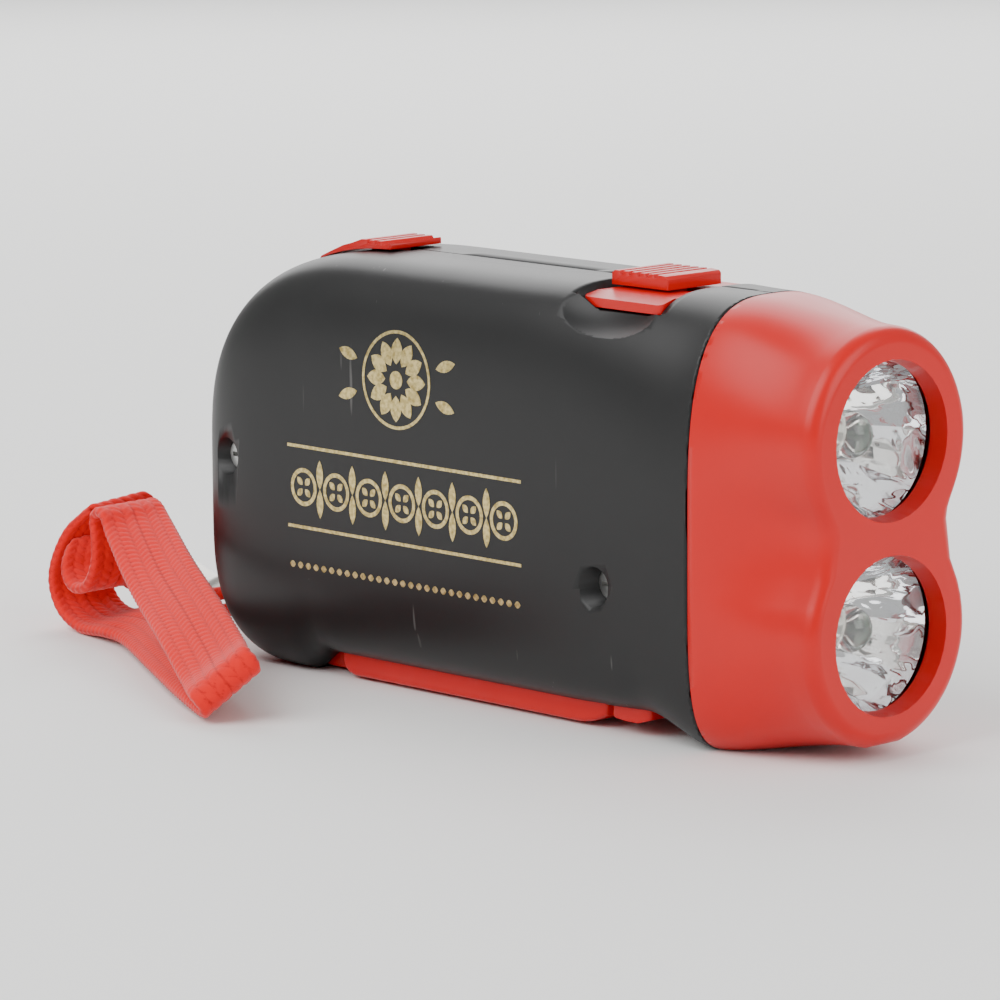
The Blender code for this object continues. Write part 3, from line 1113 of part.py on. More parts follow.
def make_strap():
    middle = smoothed([row[:3] for row in STRAP_COURSE], 2)
    across = smoothed([row[3:] for row in STRAP_COURSE], 2)
    half, thick, edge = STRAP_WIDTH / 2, STRAP_THICKNESS / 2, 0.35
    section = ((-half, -thick + edge), (-half + edge, -thick), (half - edge, -thick), (half, -thick + edge),
               (half, thick - edge), (half - edge, thick), (-half + edge, thick), (-half, thick - edge))
    rings = []
    for index, place in enumerate(middle):
        along = middle[min(index + 1, len(middle) - 1)] - middle[max(index - 1, 0)]
        wide = across[index].normalized()
        up = along.cross(wide).normalized()
        rings.append([place + wide * a + up * b for a, b in section])
    finish("wrist_strap", loft(rings), WEBBING)


def make_clip():
    along, across = Vector(CLIP_ALONG).normalized(), Vector(CLIP_ACROSS).normalized()
    up = along.cross(across)
    long, thick, edge = CLIP_LENGTH / 2, CLIP_THICKNESS / 2, 0.7
    outline = ((-long, -thick + edge), (-long + edge, -thick), (long - edge, -thick), (long, -thick + edge),
               (long, thick - edge), (long - edge, thick), (-long + edge, thick), (-long, thick - edge))
    rings = []
    for side in (-1, 1):
        start = Vector(CLIP_CENTRE) + across * side * CLIP_WIDTH / 2
        rings.append([start + along * a + up * b for a, b in outline])
    finish("strap_clip", loft(rings), CLIP_STEEL)


def make_loop():
    radius = STRAP_BAR_RADIUS + GAP + LOOP_RADIUS
    turn = []
    for degrees in range(-110, 111, 20):
        x, z = beyond((STRAP_BAR_X, STRAP_BAR_Z), radius, math.radians(degrees))
        turn.append((x, 0.0, z))
    points = smoothed(list(LOOP_OUT) + turn + list(LOOP_BACK), 2)
    tube("strap_loop", points, LOOP_RADIUS, CORD)


def clear_scene():
    for item in list(bpy.data.objects):
        bpy.data.objects.remove(item)


def main():
    clear_scene()
    make_housing()
    make_bezel()
    make_lamps()
    make_gears()
    make_gear_plate()
    make_generator()
    make_lever()
    make_lever_spring()
    make_lock()
    make_front_slide()
    make_rear_slide()
    make_switches()
    make_electronics()
    make_fasteners()
    make_strap()
    make_clip()
    make_loop()


main()
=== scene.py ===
"""Squeeze-lever dynamo flashlight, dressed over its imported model.

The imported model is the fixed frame: the scene gives its nodes their materials, and puts a finer piece in
place of a node where the looks need one. The scene is in metres, with the lamps towards +X and +Z up. The
named sizes below are in millimetres unless they say otherwise.
"""

import json
import math

import bmesh
import bpy
import numpy as np
from bpy.props import BoolProperty, FloatProperty, FloatVectorProperty, IntProperty, PointerProperty
from mathutils import Matrix, Vector
from mathutils.bvhtree import BVHTree

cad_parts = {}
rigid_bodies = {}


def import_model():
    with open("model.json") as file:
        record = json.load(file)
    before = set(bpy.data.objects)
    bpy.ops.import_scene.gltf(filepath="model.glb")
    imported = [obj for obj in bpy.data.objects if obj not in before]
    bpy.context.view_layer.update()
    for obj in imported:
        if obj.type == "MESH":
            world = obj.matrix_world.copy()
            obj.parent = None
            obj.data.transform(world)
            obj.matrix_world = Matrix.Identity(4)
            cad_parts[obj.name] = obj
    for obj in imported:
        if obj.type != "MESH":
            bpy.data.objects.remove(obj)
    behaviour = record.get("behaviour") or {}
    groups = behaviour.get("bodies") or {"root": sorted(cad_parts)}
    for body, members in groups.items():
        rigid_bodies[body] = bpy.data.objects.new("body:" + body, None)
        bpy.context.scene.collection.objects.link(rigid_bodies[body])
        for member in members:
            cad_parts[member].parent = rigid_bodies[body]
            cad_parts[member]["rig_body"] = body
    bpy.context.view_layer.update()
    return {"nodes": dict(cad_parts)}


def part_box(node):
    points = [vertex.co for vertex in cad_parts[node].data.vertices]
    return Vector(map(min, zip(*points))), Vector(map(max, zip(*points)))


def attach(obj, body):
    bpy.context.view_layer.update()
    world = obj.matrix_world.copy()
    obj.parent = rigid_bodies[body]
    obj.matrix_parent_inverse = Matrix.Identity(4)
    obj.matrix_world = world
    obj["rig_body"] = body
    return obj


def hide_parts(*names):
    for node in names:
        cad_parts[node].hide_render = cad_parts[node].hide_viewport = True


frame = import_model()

bl_info = {
    "name": "Dynamo flashlight",
    "version": (1, 0, 0),
    "blender": (4, 5, 0),
    "location": "3D View > Sidebar > Flashlight",
    "description": "Dresses the packed dynamo flashlight in plastics, chrome and woven webbing",
    "category": "Object",
}

MM = 0.001

# Depth of the strap's ridges and stitches
STRAP_RELIEF = 0.26

# Strap: middle line, from the clip round to the clip, with the direction of its width
STRAP_COURSE = (
    (-72.45, -2.6, 7.25, -0.20, 0.96, 0.17),
    (-74.4, -3.2, 8.25, -0.20, 0.96, 0.17),
    (-76.1, -4.9, 15.3, 0.00, 0.99, 0.10),
    (-77.0, -8.0, 14.1, 0.12, 0.99, 0.10),
    (-78.0, -9.7, 11.0, 0.17, 0.98, 0.08),
    (-79.2, -10.1, 6.6, 0.19, 0.98, 0.06),
    (-77.6, -10.3, 2.9, 0.19, 0.98, 0.06),
    (-72.9, -11.1, 1.3, 0.19, 0.97, 0.12),
    (-66.1, -12.8, 2.4, 0.19, 0.94, 0.28),
    (-59.4, -15.0, 2.9, 0.24, 0.89, 0.38),
    (-43.6, -23.9, 3.3, 0.33, 0.82, 0.47),
    (-29.8, -31.9, 3.7, 0.40, 0.72, 0.57),
    (-20.0, -36.9, 3.6, 0.46, 0.62, 0.64),
    (-17.2, -38.5, 3.9, 0.46, 0.62, 0.64),
    (-16.6, -39.4, 5.0, 0.46, 0.62, 0.64),
    (-18.2, -39.4, 6.1, 0.46, 0.62, 0.64),
    (-24.0, -35.3, 6.1, 0.42, 0.72, 0.56),
    (-35.1, -29.2, 8.6, 0.34, 0.82, 0.46),
    (-49.7, -21.3, 11.5, 0.28, 0.87, 0.40),
    (-61.2, -15.1, 15.1, 0.22, 0.95, 0.20),
    (-64.6, -13.5, 16.8, 0.19, 0.98, 0.06),
    (-66.7, -12.8, 16.9, 0.19, 0.98, 0.06),
    (-67.8, -12.5, 15.6, 0.19, 0.98, 0.06),
    (-67.4, -12.6, 12.7, 0.19, 0.98, 0.06),
    (-67.4, -12.9, 9.7, 0.19, 0.98, 0.06),
    (-69.4, -12.6, 7.1, 0.19, 0.98, 0.06),
    (-72.5, -12.1, 6.4, 0.19, 0.98, 0.06),
    (-74.9, -11.4, 7.8, 0.19, 0.98, 0.06),
    (-75.9, -10.3, 9.9, 0.19, 0.98, 0.06),
    (-76.8, -7.9, 11.2, 0.10, 0.99, 0.10),
    (-75.3, -3.1, 6.6, -0.20, 0.96, 0.17),
    (-73.3, -2.5, 5.6, -0.20, 0.96, 0.17),
)

# Cord loop: from the clip to the bar in the housing, and back
LOOP_OUT = (
    (-66.6, -0.4, 2.3), (-63.2, -0.3, 2.3), (-59.0, -0.2, 3.4), (-55.2, 0.0, 5.4), (-52.6, 0.0, 6.9))
LOOP_BACK = (
    (-52.6, 0.0, 10.7), (-55.2, 0.0, 8.5), (-59.0, -0.2, 5.8), (-63.0, -0.4, 4.6), (-65.8, -0.5, 4.1))

# Outside of the case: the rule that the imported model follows, with its places of rings
FRONT_X, REAR_X, SEAM_X = 53.4, -53.4, 34.75
HALF_WIDTH, TOP_Z, SIDE_CENTRE_Z, LENS_CENTRE_Z = 14.35, 52.4, 20.8, 25.85
TOP_RUN, BOTTOM_RUN, SIDE_RUN = 30.3, 16.3, 24.3
PROFILE_POWER, SIDE_POWER, BODY_POWER, SEAM_POWER, BELLY_POWER = 2.6, 4.5, 5.0, 3.0, 7.0
FOOT_SINK, BELLY_RISE, BELLY_REAR, BELLY_FRONT, FRONT_FOOT_RUN = 0.5, 3.1, -35.0, -30.0, 10.0
LAMP_SPACING, LOBE_RADIUS, WAIST_HALF_WIDTH, LOBE_POWER, EDGE_RADIUS = 22.5, 13.1, 10.4, 14.0, 2.0
LOWER_CORNER_RUN, LOWER_CORNER_X, UPPER_CORNER_X = 8.4, 12.0, 5.0
SEAM_GAP, SEAM_OVERRUN = 0.15, 1.0
# The scoops are 0.05 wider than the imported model's, so that its flat faces give way to them
SCOOP_X, SCOOP_SIDE_Y, SCOOP_Z, SCOOP_RADII = 20.4, 17.0, 54.0, (13.05, 9.05, 8.05)
# A vertex this near the coarse form belongs to the skin, and is lifted clear of the fine form
SKIN_REACH, SKIN_LIFT, SEAM_REACH = 0.03, 0.7, 0.5
HOUSING_TURNS = (4, 8, 13, 19, 26, 34, 43, 53, 64, 77)
HOUSING_SHARES = (0.0, 0.12, 0.3, 0.5, 0.62, 0.71, 0.78, 0.84, 0.9, 0.95, 1.0)
BEZEL_SHARES = (0.2, 0.38, 0.54, 0.68, 0.8)
BEZEL_TURNS = (5, 22, 40, 58, 74, 90)

REFLECTOR_HOLE, REFLECTOR_INSET, REFLECTOR_WALL = 3.3, 0.32, 0.3

# Ornament: heights of the rosette, frieze and row of beads, then the frieze's middle and half its length
ORNAMENT_X, ROSETTE_Z, FRIEZE_Z, BEAD_Z = -13.9, 38.8, 23.9, 14.1
FRIEZE_X, FRIEZE_REACH, FRIEZE_LINE = -13.0, 20.6, 5.0
FOIL_LIFT, FOIL_THICKNESS = 0.05, 0.04

# Sums of the reflector's node tree: the name of the result, the operation and its values
REFLECTOR_SUMS = (
    ("share", "ADD", "row", 0.5),
    ("turn", "MULTIPLY", "column", 2 * math.pi),
    ("widening", "SQRT", "share", 0.0),
    ("span", "SUBTRACT", "Mouth", "Hole"),
    ("opening", "MULTIPLY", "span", "widening"),
    ("bowl", "ADD", "Hole", "opening"),
    ("half flutes", "MULTIPLY", "Flutes", 0.5),
    ("phase", "MULTIPLY", "turn", "half flutes"),
    ("swing", "SINE", "phase", 0.0),
    ("wave", "ABSOLUTE", "swing", 0.0),
    ("rest", "SUBTRACT", 1.0, "share"),
    ("fade", "MULTIPLY", "share", "rest"),
    ("full fade", "MULTIPLY", "fade", 4.0),
    ("cut", "MULTIPLY", "wave", "Flute depth"),
    ("flute", "MULTIPLY", "cut", "full fade"),
    ("radius", "SUBTRACT", "bowl", "flute"),
    ("run", "MULTIPLY", "share", "Depth"),
    ("X", "ADD", "Rear X", "run"),
    ("cosine", "COSINE", "turn", 0.0),
    ("Y", "MULTIPLY", "radius", "cosine"),
    ("sine", "SINE", "turn", 0.0),
    ("rise", "MULTIPLY", "radius", "sine"),
    ("Z", "ADD", "Centre Z", "rise"),
)

# Camera: place in metres, heading in degrees, and the pixel that its untilted axis passes
CAMERA_PLACE = (0.485116, -0.474689, 0.138334)
CAMERA_HEADING = 45.57
CAMERA_HEIGHT_ANGLE = 9.39
CAMERA_ROLL = -0.28
AXIS_PIXEL = (568.1, 483.8)
FOCAL_PIXELS = 5722.0
PICTURE_PIXELS = 1000
SENSOR_MM = 36.0


def linear(code):
    """Linear colour from an sRGB hex value."""
    parts = [int(code[i:i + 2], 16) / 255 for i in (1, 3, 5)]
    return tuple(p / 12.92 if p <= 0.04045 else ((p + 0.055) / 1.055) ** 2.4 for p in parts)


def solid(code):
    return (*linear(code), 1.0)


BLACK, WHITE = solid("#000000"), solid("#FFFFFF")


def per_mm(size):
    """Texture scale that gives features of that size in millimetres."""
    return 1000.0 / size


# Share of the scale in the wave textures: a wave is then 6.3 times as long as the size that per_mm is given
WAVE_SHARE = 0.314 / (2 * math.pi)


def add(tree, kind, settings=None, inputs=None, stops=(), feeds=None, output=0):
    """Add a node with its settings; an input that is given a socket is linked, any other is set.

    Stops are a colour ramp's (position, colour) pairs. Feeds names the shader's input that the output feeds.
    """
    node = tree.nodes.new(kind)
    for name, value in (settings or {}).items():
        setattr(node, name, value)
    for name, value in (inputs or {}).items():
        if isinstance(value, bpy.types.NodeSocket):
            tree.links.new(value, node.inputs[name])
        else:
            node.inputs[name].default_value = value
    for index, (position, colour) in enumerate(stops):
        node.color_ramp.elements[index].position = position
        node.color_ramp.elements[index].color = colour
    if feeds:
        tree.links.new(node.outputs[output], tree.nodes["Principled BSDF"].inputs[feeds])
    return node


def start_material(name, **values):
    """Material with its shader's uniform values set; returns it, its tree and the object's coordinates."""
    made = bpy.data.materials.new(name)
    made.use_nodes = True
    tree = made.node_tree
    for socket, value in values.items():
        tree.nodes["Principled BSDF"].inputs[socket.replace("_", " ")].default_value = value
    return made, tree, tree.nodes.new("ShaderNodeTexCoord").outputs["Object"]


# Materials

def black_moulding():
    """ABS moulded in a fine-blasted tool: a satin black with a soft sheen, handling scratches and dust."""
    settings = bpy.context.scene.flashlight_plastics
    made, tree, place = start_material("ABS, black, satin moulded", IOR=1.54, Specular_IOR_Level=0.38)
    drawn_out = add(tree, "ShaderNodeMapping", inputs={
        "Vector": place, "Rotation": (0.0, 0.9, 0.0), "Scale": (1.0, 1.0, 0.05)})
    grain, cloud, patch, hairline = [
        add(tree, "ShaderNodeTexNoise", inputs={
            "Vector": vector, "Scale": per_mm(size), "Detail": detail}).outputs["Fac"]
        for vector, size, detail in (
            (place, settings.grain, 2.0), (place, 22.0, 3.0), (place, 14.0, 1.0),
            (drawn_out.outputs["Vector"], 0.9, 1.0))]
    specks = add(tree, "ShaderNodeTexVoronoi", inputs={
        "Vector": place, "Scale": per_mm(5.5), "Randomness": 1.0})
    hairs, patches, dust = [
        add(tree, "ShaderNodeValToRGB", inputs={"Fac": factor}, stops=stops).outputs["Color"]
        for factor, stops in (
            (hairline, ((0.735, BLACK), (0.76, WHITE))),
            (patch, ((0.54, BLACK), (0.66, WHITE))),
            (specks.outputs["Distance"], ((0.008, WHITE), (0.016, BLACK))))]
    scratch = add(tree, "ShaderNodeMath", {"operation": "MULTIPLY"}, {0: hairs, 1: patches})
    marks = add(tree, "ShaderNodeMath", {"operation": "MAXIMUM"}, {0: scratch.outputs[0], 1: dust})
    amount = add(tree, "ShaderNodeMath", {"operation": "MULTIPLY"}, {0: marks.outputs[0], 1: settings.wear})
    add(tree, "ShaderNodeMix", {"data_type": "RGBA"}, {
        "Factor": amount.outputs[0], 6: (*settings.case_colour, 1.0), 7: solid("#9A9896")},
        feeds="Base Color", output=2)
    add(tree, "ShaderNodeMapRange", inputs={
        "Value": cloud, "To Min": 0.36, "To Max": 0.46}, feeds="Roughness")
    add(tree, "ShaderNodeBump", inputs={
        "Height": grain, "Strength": 0.10, "Distance": 0.02 * MM}, feeds="Normal")
    return made


def red_moulding():
    """ABS moulded in a polished tool: an even, warm red that light enters a little, with a soft gloss."""
    settings = bpy.context.scene.flashlight_plastics
    made, tree, place = start_material("ABS, red, gloss moulded", IOR=1.54, Specular_IOR_Level=0.32)
    flow = add(tree, "ShaderNodeTexNoise", inputs={
        "Vector": place, "Scale": per_mm(9.0), "Detail": 3.0})
    peel = add(tree, "ShaderNodeTexNoise", inputs={
        "Vector": place, "Scale": per_mm(1.6), "Detail": 1.0})
    tone = Vector(settings.trim_colour)
    add(tree, "ShaderNodeMix", {"data_type": "RGBA"}, {
        "Factor": flow.outputs["Fac"], 6: (*(tone * 0.94), 1.0), 7: (*(tone * 1.04), 1.0)},
        feeds="Base Color", output=2)
    add(tree, "ShaderNodeMapRange", inputs={
        "Value": flow.outputs["Fac"], "To Min": 0.27, "To Max": 0.36}, feeds="Roughness")
    add(tree, "ShaderNodeBump", inputs={
        "Height": peel.outputs["Fac"], "Strength": 0.05, "Distance": 0.02 * MM}, feeds="Normal")
    return made


def patterned(name, size, detail, stretch=None, distortion=0.0, stops=(), roughness=None, bump=None,
              **values):
    """Material with one noise pattern, of that size in millimetres, which may be stretched along an axis.

    It colours the surface by the stops, varies its roughness between two values, and raises a bump that is
    given by its strength and its height in millimetres.
    """
    made, tree, place = start_material(name, **values)
    if stretch:
        place = add(tree, "ShaderNodeMapping", inputs={"Vector": place, "Scale": stretch}).outputs["Vector"]
    noise = add(tree, "ShaderNodeTexNoise", inputs={
        "Vector": place, "Scale": per_mm(size), "Detail": detail, "Distortion": distortion}).outputs["Fac"]
    if stops:
        add(tree, "ShaderNodeValToRGB", inputs={"Fac": noise}, stops=stops, feeds="Base Color")
    if roughness:
        add(tree, "ShaderNodeMapRange", inputs={
            "Value": noise, "To Min": roughness[0], "To Max": roughness[1]}, feeds="Roughness")
    if bump:
        add(tree, "ShaderNodeBump", inputs={
            "Height": noise, "Strength": bump[0], "Distance": bump[1] * MM}, feeds="Normal")
    return made


def clear_lens():
    """Polycarbonate lens, moulded: colourless, with a fine ripple that bends what lies behind it."""
    return patterned("Polycarbonate, clear, moulded", 4.5, 1.0, bump=(0.12, 0.12), IOR=1.585, Roughness=0.01,
                     Transmission_Weight=1.0, Base_Color=solid("#FCFDFD"))


def metallised():
    """Plastic with vacuum-deposited aluminium: a bright mirror, slightly uneven from the moulding below."""
    return patterned("ABS, vacuum metallised", 3.4, 1.5, stretch=(0.45, 1.0, 1.0), distortion=0.8,
                     bump=(0.55, 0.6), Metallic=1.0, Base_Color=solid("#F1F1F3"), Roughness=0.05)


def lamp_epoxy():
    """Water-clear epoxy of a cast lamp bullet, faintly warm where the resin is thick."""
    return patterned("Epoxy, water-clear, cast", 3.0, 2.0, IOR=1.52, Roughness=0.03, Transmission_Weight=1.0,
                     stops=((0.35, solid("#FFFDF6")), (0.7, solid("#F4F1EA"))))


def plated_steel(name, tone, roughness, brush):
    """Drawn or stamped steel with bright plating: fine lines along X break up the mirror."""
    return patterned(name, brush, 3.0, stretch=(0.06, 1.0, 1.0), bump=(0.12, 0.02), Metallic=1.0,
                     roughness=(roughness - 0.07, roughness + 0.1), Base_Color=solid(tone))


def plain_plastic(name, low_tone, high_tone, roughness, spot):
    """Moulded engineering plastic: an even colour with faint flow clouds."""
    return patterned(name, spot, 3.0, stops=((0.3, solid(low_tone)), (0.7, solid(high_tone))),
                     roughness=(roughness - 0.05, roughness + 0.07), IOR=1.48)


def gold_foil():
    """Hot-stamped metallic foil: a pale gold film, broken by the pores of the satin plastic below."""
    return patterned("Foil, pale gold, hot stamped", 0.5, 2.0, bump=(0.2, 0.02), Metallic=1.0, Roughness=0.38,
                     stops=((0.3, solid("#A8935A")), (0.62, solid("#DCC98F"))))


def circuit_laminate():
    """Glass-epoxy laminate with green solder mask: the copper tracks below show as a lighter green."""
    made, tree, place = start_material("Glass epoxy, green solder mask", IOR=1.5, Roughness=0.3)
    tracks = add(tree, "ShaderNodeTexBrick", {"offset": 0.5}, {
        "Vector": place, "Scale": per_mm(3.0), "Mortar Size": 0.09,
        "Color1": solid("#0F5A2E"), "Color2": solid("#0C4F28"), "Mortar": solid("#2C8A4E")},
        feeds="Base Color")
    add(tree, "ShaderNodeBump", inputs={
        "Height": tracks.outputs["Fac"], "Strength": 0.3, "Distance": 0.03 * MM}, feeds="Normal")
    return made


def copper_wire():
    """Enamelled copper wire, wound in layers: its turns show 2.2 mm apart, coarser than the real ones, with
    painted shade between them and painted light on their crowns.
    """
    made, tree, place = start_material("Copper wire, enamelled", Metallic=1.0, Roughness=0.28)
    turns = add(tree, "ShaderNodeTexWave", {"bands_direction": "Z", "wave_profile": "SIN"}, {
        "Vector": place, "Scale": per_mm(0.35) * WAVE_SHARE})
    # Dark bands are painted shade between the turns, bright bands painted light on their crowns.
    add(tree, "ShaderNodeValToRGB", inputs={"Fac": turns.outputs["Fac"]}, feeds="Base Color",
        stops=((0.1, solid("#7A3A18")), (0.8, solid("#C97438"))))
    add(tree, "ShaderNodeBump", inputs={
        "Height": turns.outputs["Fac"], "Strength": 0.6, "Distance": 0.12 * MM}, feeds="Normal")
    return made


def sheet_iron():
    """Silicon-iron sheets, stamped and stacked: they show 3.1 mm apart, coarser than the real ones."""
    made, tree, place = start_material("Silicon iron, laminated", Metallic=1.0, Roughness=0.42)
    sheets = add(tree, "ShaderNodeTexWave", {"bands_direction": "Y"}, {
        "Vector": place, "Scale": per_mm(0.5) * WAVE_SHARE})
    add(tree, "ShaderNodeValToRGB", inputs={"Fac": sheets.outputs["Fac"]}, feeds="Base Color",
        stops=((0.15, solid("#4E4E52")), (0.6, solid("#8B8B90"))))
    return made


def webbing_weave(name, bright, groove_shade_colour):
    """Polyester yarn, knitted: a deep red pile with painted shade in the grooves, with fine fibres and sheen.
    """
    made, tree, place = start_material(
        name, IOR=1.46, Roughness=0.88, Sheen_Weight=0.25, Sheen_Roughness=0.45, Specular_IOR_Level=0.25)
    height = add(tree, "ShaderNodeAttribute", {"attribute_name": "relief"})
    fibre = add(tree, "ShaderNodeTexNoise", inputs={
        "Vector": place, "Scale": per_mm(0.16), "Detail": 3.0})
    blotch = add(tree, "ShaderNodeTexNoise", inputs={
        "Vector": place, "Scale": per_mm(1.4), "Detail": 2.0})
    # Height from the relief lifts the colour towards the bright yarn on the ridges, so the low parts keep the
    # dark colour: painted shade in the grooves.
    fibres_and_painted_groove_shade = add(tree, "ShaderNodeMath", {"operation": "MULTIPLY_ADD"}, {
        0: fibre.outputs["Fac"], 1: 0.45, 2: height.outputs["Fac"]})
    soft = add(tree, "ShaderNodeMath", {"operation": "MULTIPLY_ADD"}, {
        0: blotch.outputs["Fac"], 1: 0.25, 2: fibres_and_painted_groove_shade.outputs[0]})
    add(tree, "ShaderNodeValToRGB", inputs={"Fac": soft.outputs[0]}, feeds="Base Color",
        stops=((0.38, solid(groove_shade_colour)), (1.0, (*bright, 1.0))))
    add(tree, "ShaderNodeBump", inputs={
        "Height": fibre.outputs["Fac"], "Strength": 0.55, "Distance": 0.07 * MM}, feeds="Normal")
    return made


# Shared mesh work

def node_material(name, finish):
    """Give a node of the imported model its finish."""
    for slot in frame["nodes"][name].material_slots:
        slot.material = finish


def placed(name, data):
    """New object in the scene."""
    made = bpy.data.objects.new(name, data)
    bpy.context.scene.collection.objects.link(made)
    return made


def baked(name, mesh):
    """Mesh data made from a working mesh, which is freed."""
    data = bpy.data.meshes.new(name)
    mesh.to_mesh(data)
    mesh.free()
    return data


def settle(name, mesh, finish, node, angle, replaces=True):
    """Turn a mesh into a finished piece that rides on the node's body and, as a rule, takes its place."""
    data = baked(name, mesh) if isinstance(mesh, bmesh.types.BMesh) else mesh
    data.name = name
    data.materials.clear()
    data.materials.append(finish)
    data.shade_smooth()
    data.set_sharp_from_angle(angle=math.radians(angle))
    made = placed(name, data)
    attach(made, frame["nodes"][node]["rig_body"])
    if replaces:
        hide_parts(node)
    return made


def applied(item):
    """The item's mesh with its modifiers worked in; the item itself is removed."""
    graph = bpy.context.evaluated_depsgraph_get()
    graph.update()
    data = bpy.data.meshes.new_from_object(item.evaluated_get(graph))
    bpy.data.objects.remove(item)
    return data


def merged_copy(node_name):
    """Closed copy of a node's mesh, with flat faces joined up again."""
    mesh = bmesh.new()
    mesh.from_mesh(frame["nodes"][node_name].data)
    bmesh.ops.remove_doubles(mesh, verts=mesh.verts, dist=1e-6)
    bmesh.ops.dissolve_limit(mesh, angle_limit=math.radians(1.5), verts=mesh.verts, edges=mesh.edges)
    return mesh


def soften(mesh, test, width, segments):
    """Round the sharp edges that pass the test."""
    edges = []
    for edge in mesh.edges:
        if len(edge.link_faces) == 2 and edge.calc_face_angle(0.0) > math.radians(30) and test(edge):
            edges.append(edge)
    if edges:
        bmesh.ops.bevel(mesh, geom=edges, offset=width, segments=segments, profile=0.5, affect="EDGES",
                        clamp_overlap=True)


def smooth_run(course, steps):
    """Smooth run through rows of numbers, with steps stretches between each two."""
    rows = [Vector(row) for row in course]
    rows = [2 * rows[0] - rows[1]] + rows + [2 * rows[-1] - rows[-2]]
    run = []
    for index in range(1, len(rows) - 2):
        before, start, end, after = rows[index - 1:index + 3]
        for step in range(steps):
            t = step / steps
            bend = 2 * before - 5 * start + 4 * end - after
            run.append(0.5 * (2 * start + (end - before) * t + bend * t * t
                              + (3 * start - before - 3 * end + after) * t ** 3))
    run.append(rows[-2])
    return run


def even_run(points, others, spacing):
    """Resample a line, and what goes with each point, to even spacing."""
    line = np.array([list(p) for p in points])
    extra = np.array([list(o) for o in others])
    travelled = np.concatenate([[0.0], np.cumsum(np.linalg.norm(np.diff(line, axis=0), axis=1))])
    count = int(travelled[-1] / spacing) + 1
    along = np.linspace(0.0, travelled[-1], count)
    place = np.stack([np.interp(along, travelled, line[:, k]) for k in range(3)], axis=1)
    other = np.stack([np.interp(along, travelled, extra[:, k]) for k in range(extra.shape[1])], axis=1)
    return along, place, other


def unit(rows):
    return rows / np.linalg.norm(rows, axis=1, keepdims=True)


def turned(rows_of, count):
    """Shape of rows of points, each a ring of that count or a single point, joined by faces."""
    mesh = bmesh.new()
    rows = [[mesh.verts.new(point) for point in row] for row in rows_of]
    for near, far in zip(rows, rows[1:]):
        for k in range(count):
            after = (k + 1) % count
            corners = [near[k % len(near)], far[k % len(far)], far[after % len(far)], near[after % len(near)]]
            mesh.faces.new(list(dict.fromkeys(corners)))
    return mesh


def circle(radius, count):
    """Points (along, across) of a circle, or its middle alone where the radius is nothing."""
    turns = [2 * math.pi * k / count for k in range(count)] if radius else [0.0]
    return [(radius * math.cos(turn), radius * math.sin(turn)) for turn in turns]


def swept(name, rings, relief):
    """Closed tube through an array of rings, with its relief kept for the material, which paints shade into
    the grooves by it.
    """
    count, around = rings.shape[:2]
    starts = np.arange(count - 1)[:, None] * around
    index = np.arange(around)[None, :]
    after = (index + 1) % around
    corners = [starts + index, starts + after, starts + around + after, starts + around + index]
    quads = np.stack(corners, axis=2)
    faces = quads.reshape(-1, 4).tolist()
    faces.append(list(range(around - 1, -1, -1)))
    faces.append([(count - 1) * around + k for k in range(around)])
    data = bpy.data.meshes.new(name)
    data.from_pydata(rings.reshape(-1, 3).tolist(), [], faces)
    kept = data.attributes.new("relief", "FLOAT", "POINT")
    kept.data.foreach_set("value", relief.astype(np.float32).ravel())
    mesh = bmesh.new()
    mesh.from_mesh(data)
    bmesh.ops.recalc_face_normals(mesh, faces=mesh.faces)
    mesh.to_mesh(data)
    mesh.free()
    return data


# Outside of the case

def eased(low, high, value):
    share = min(1.0, max(0.0, (value - low) / (high - low)))
    return share * share * (3 - 2 * share)


def fall_off(run, x, power):
    share = min(1.0, max(0.0, (REAR_X + run - x) / run))
    return (1 - share ** power) ** (1 / power)


def housing_ring(x, count, floor=0.0):
    """Cross-section of the housing at x: a rounded box that closes towards the rear."""
    belly = BELLY_RISE * eased(BELLY_REAR, BELLY_FRONT, x) * (1 - eased(SEAM_X - FRONT_FOOT_RUN, SEAM_X, x))
    high = SIDE_CENTRE_Z + (TOP_Z - SIDE_CENTRE_Z) * fall_off(TOP_RUN, x, PROFILE_POWER)
    drop = SIDE_CENTRE_Z + FOOT_SINK - belly
    low = SIDE_CENTRE_Z - drop * fall_off(BOTTOM_RUN, x, PROFILE_POWER)
    width = HALF_WIDTH * fall_off(SIDE_RUN, x, SIDE_POWER)
    over_lever = eased(BELLY_REAR, BELLY_REAR + LOWER_CORNER_RUN, x) * (1 - eased(LOWER_CORNER_X, SEAM_X, x))
    lower = 2 / (BODY_POWER + (BELLY_POWER - BODY_POWER) * over_lever)
    upper = 2 / (BODY_POWER + (SEAM_POWER - BODY_POWER) * eased(UPPER_CORNER_X, SEAM_X, x))
    ring = []
    for index in range(count):
        angle = 2 * math.pi * (index + 0.5) / count
        across, upward = math.sin(angle), math.cos(angle)
        shape = lower if upward < 0 else upper
        y = width * math.copysign(abs(across) ** shape, across)
        z = (low + high) / 2 + (high - low) / 2 * math.copysign(abs(upward) ** shape, upward)
        ring.append(Vector((x, y, max(z, floor))))
    return ring


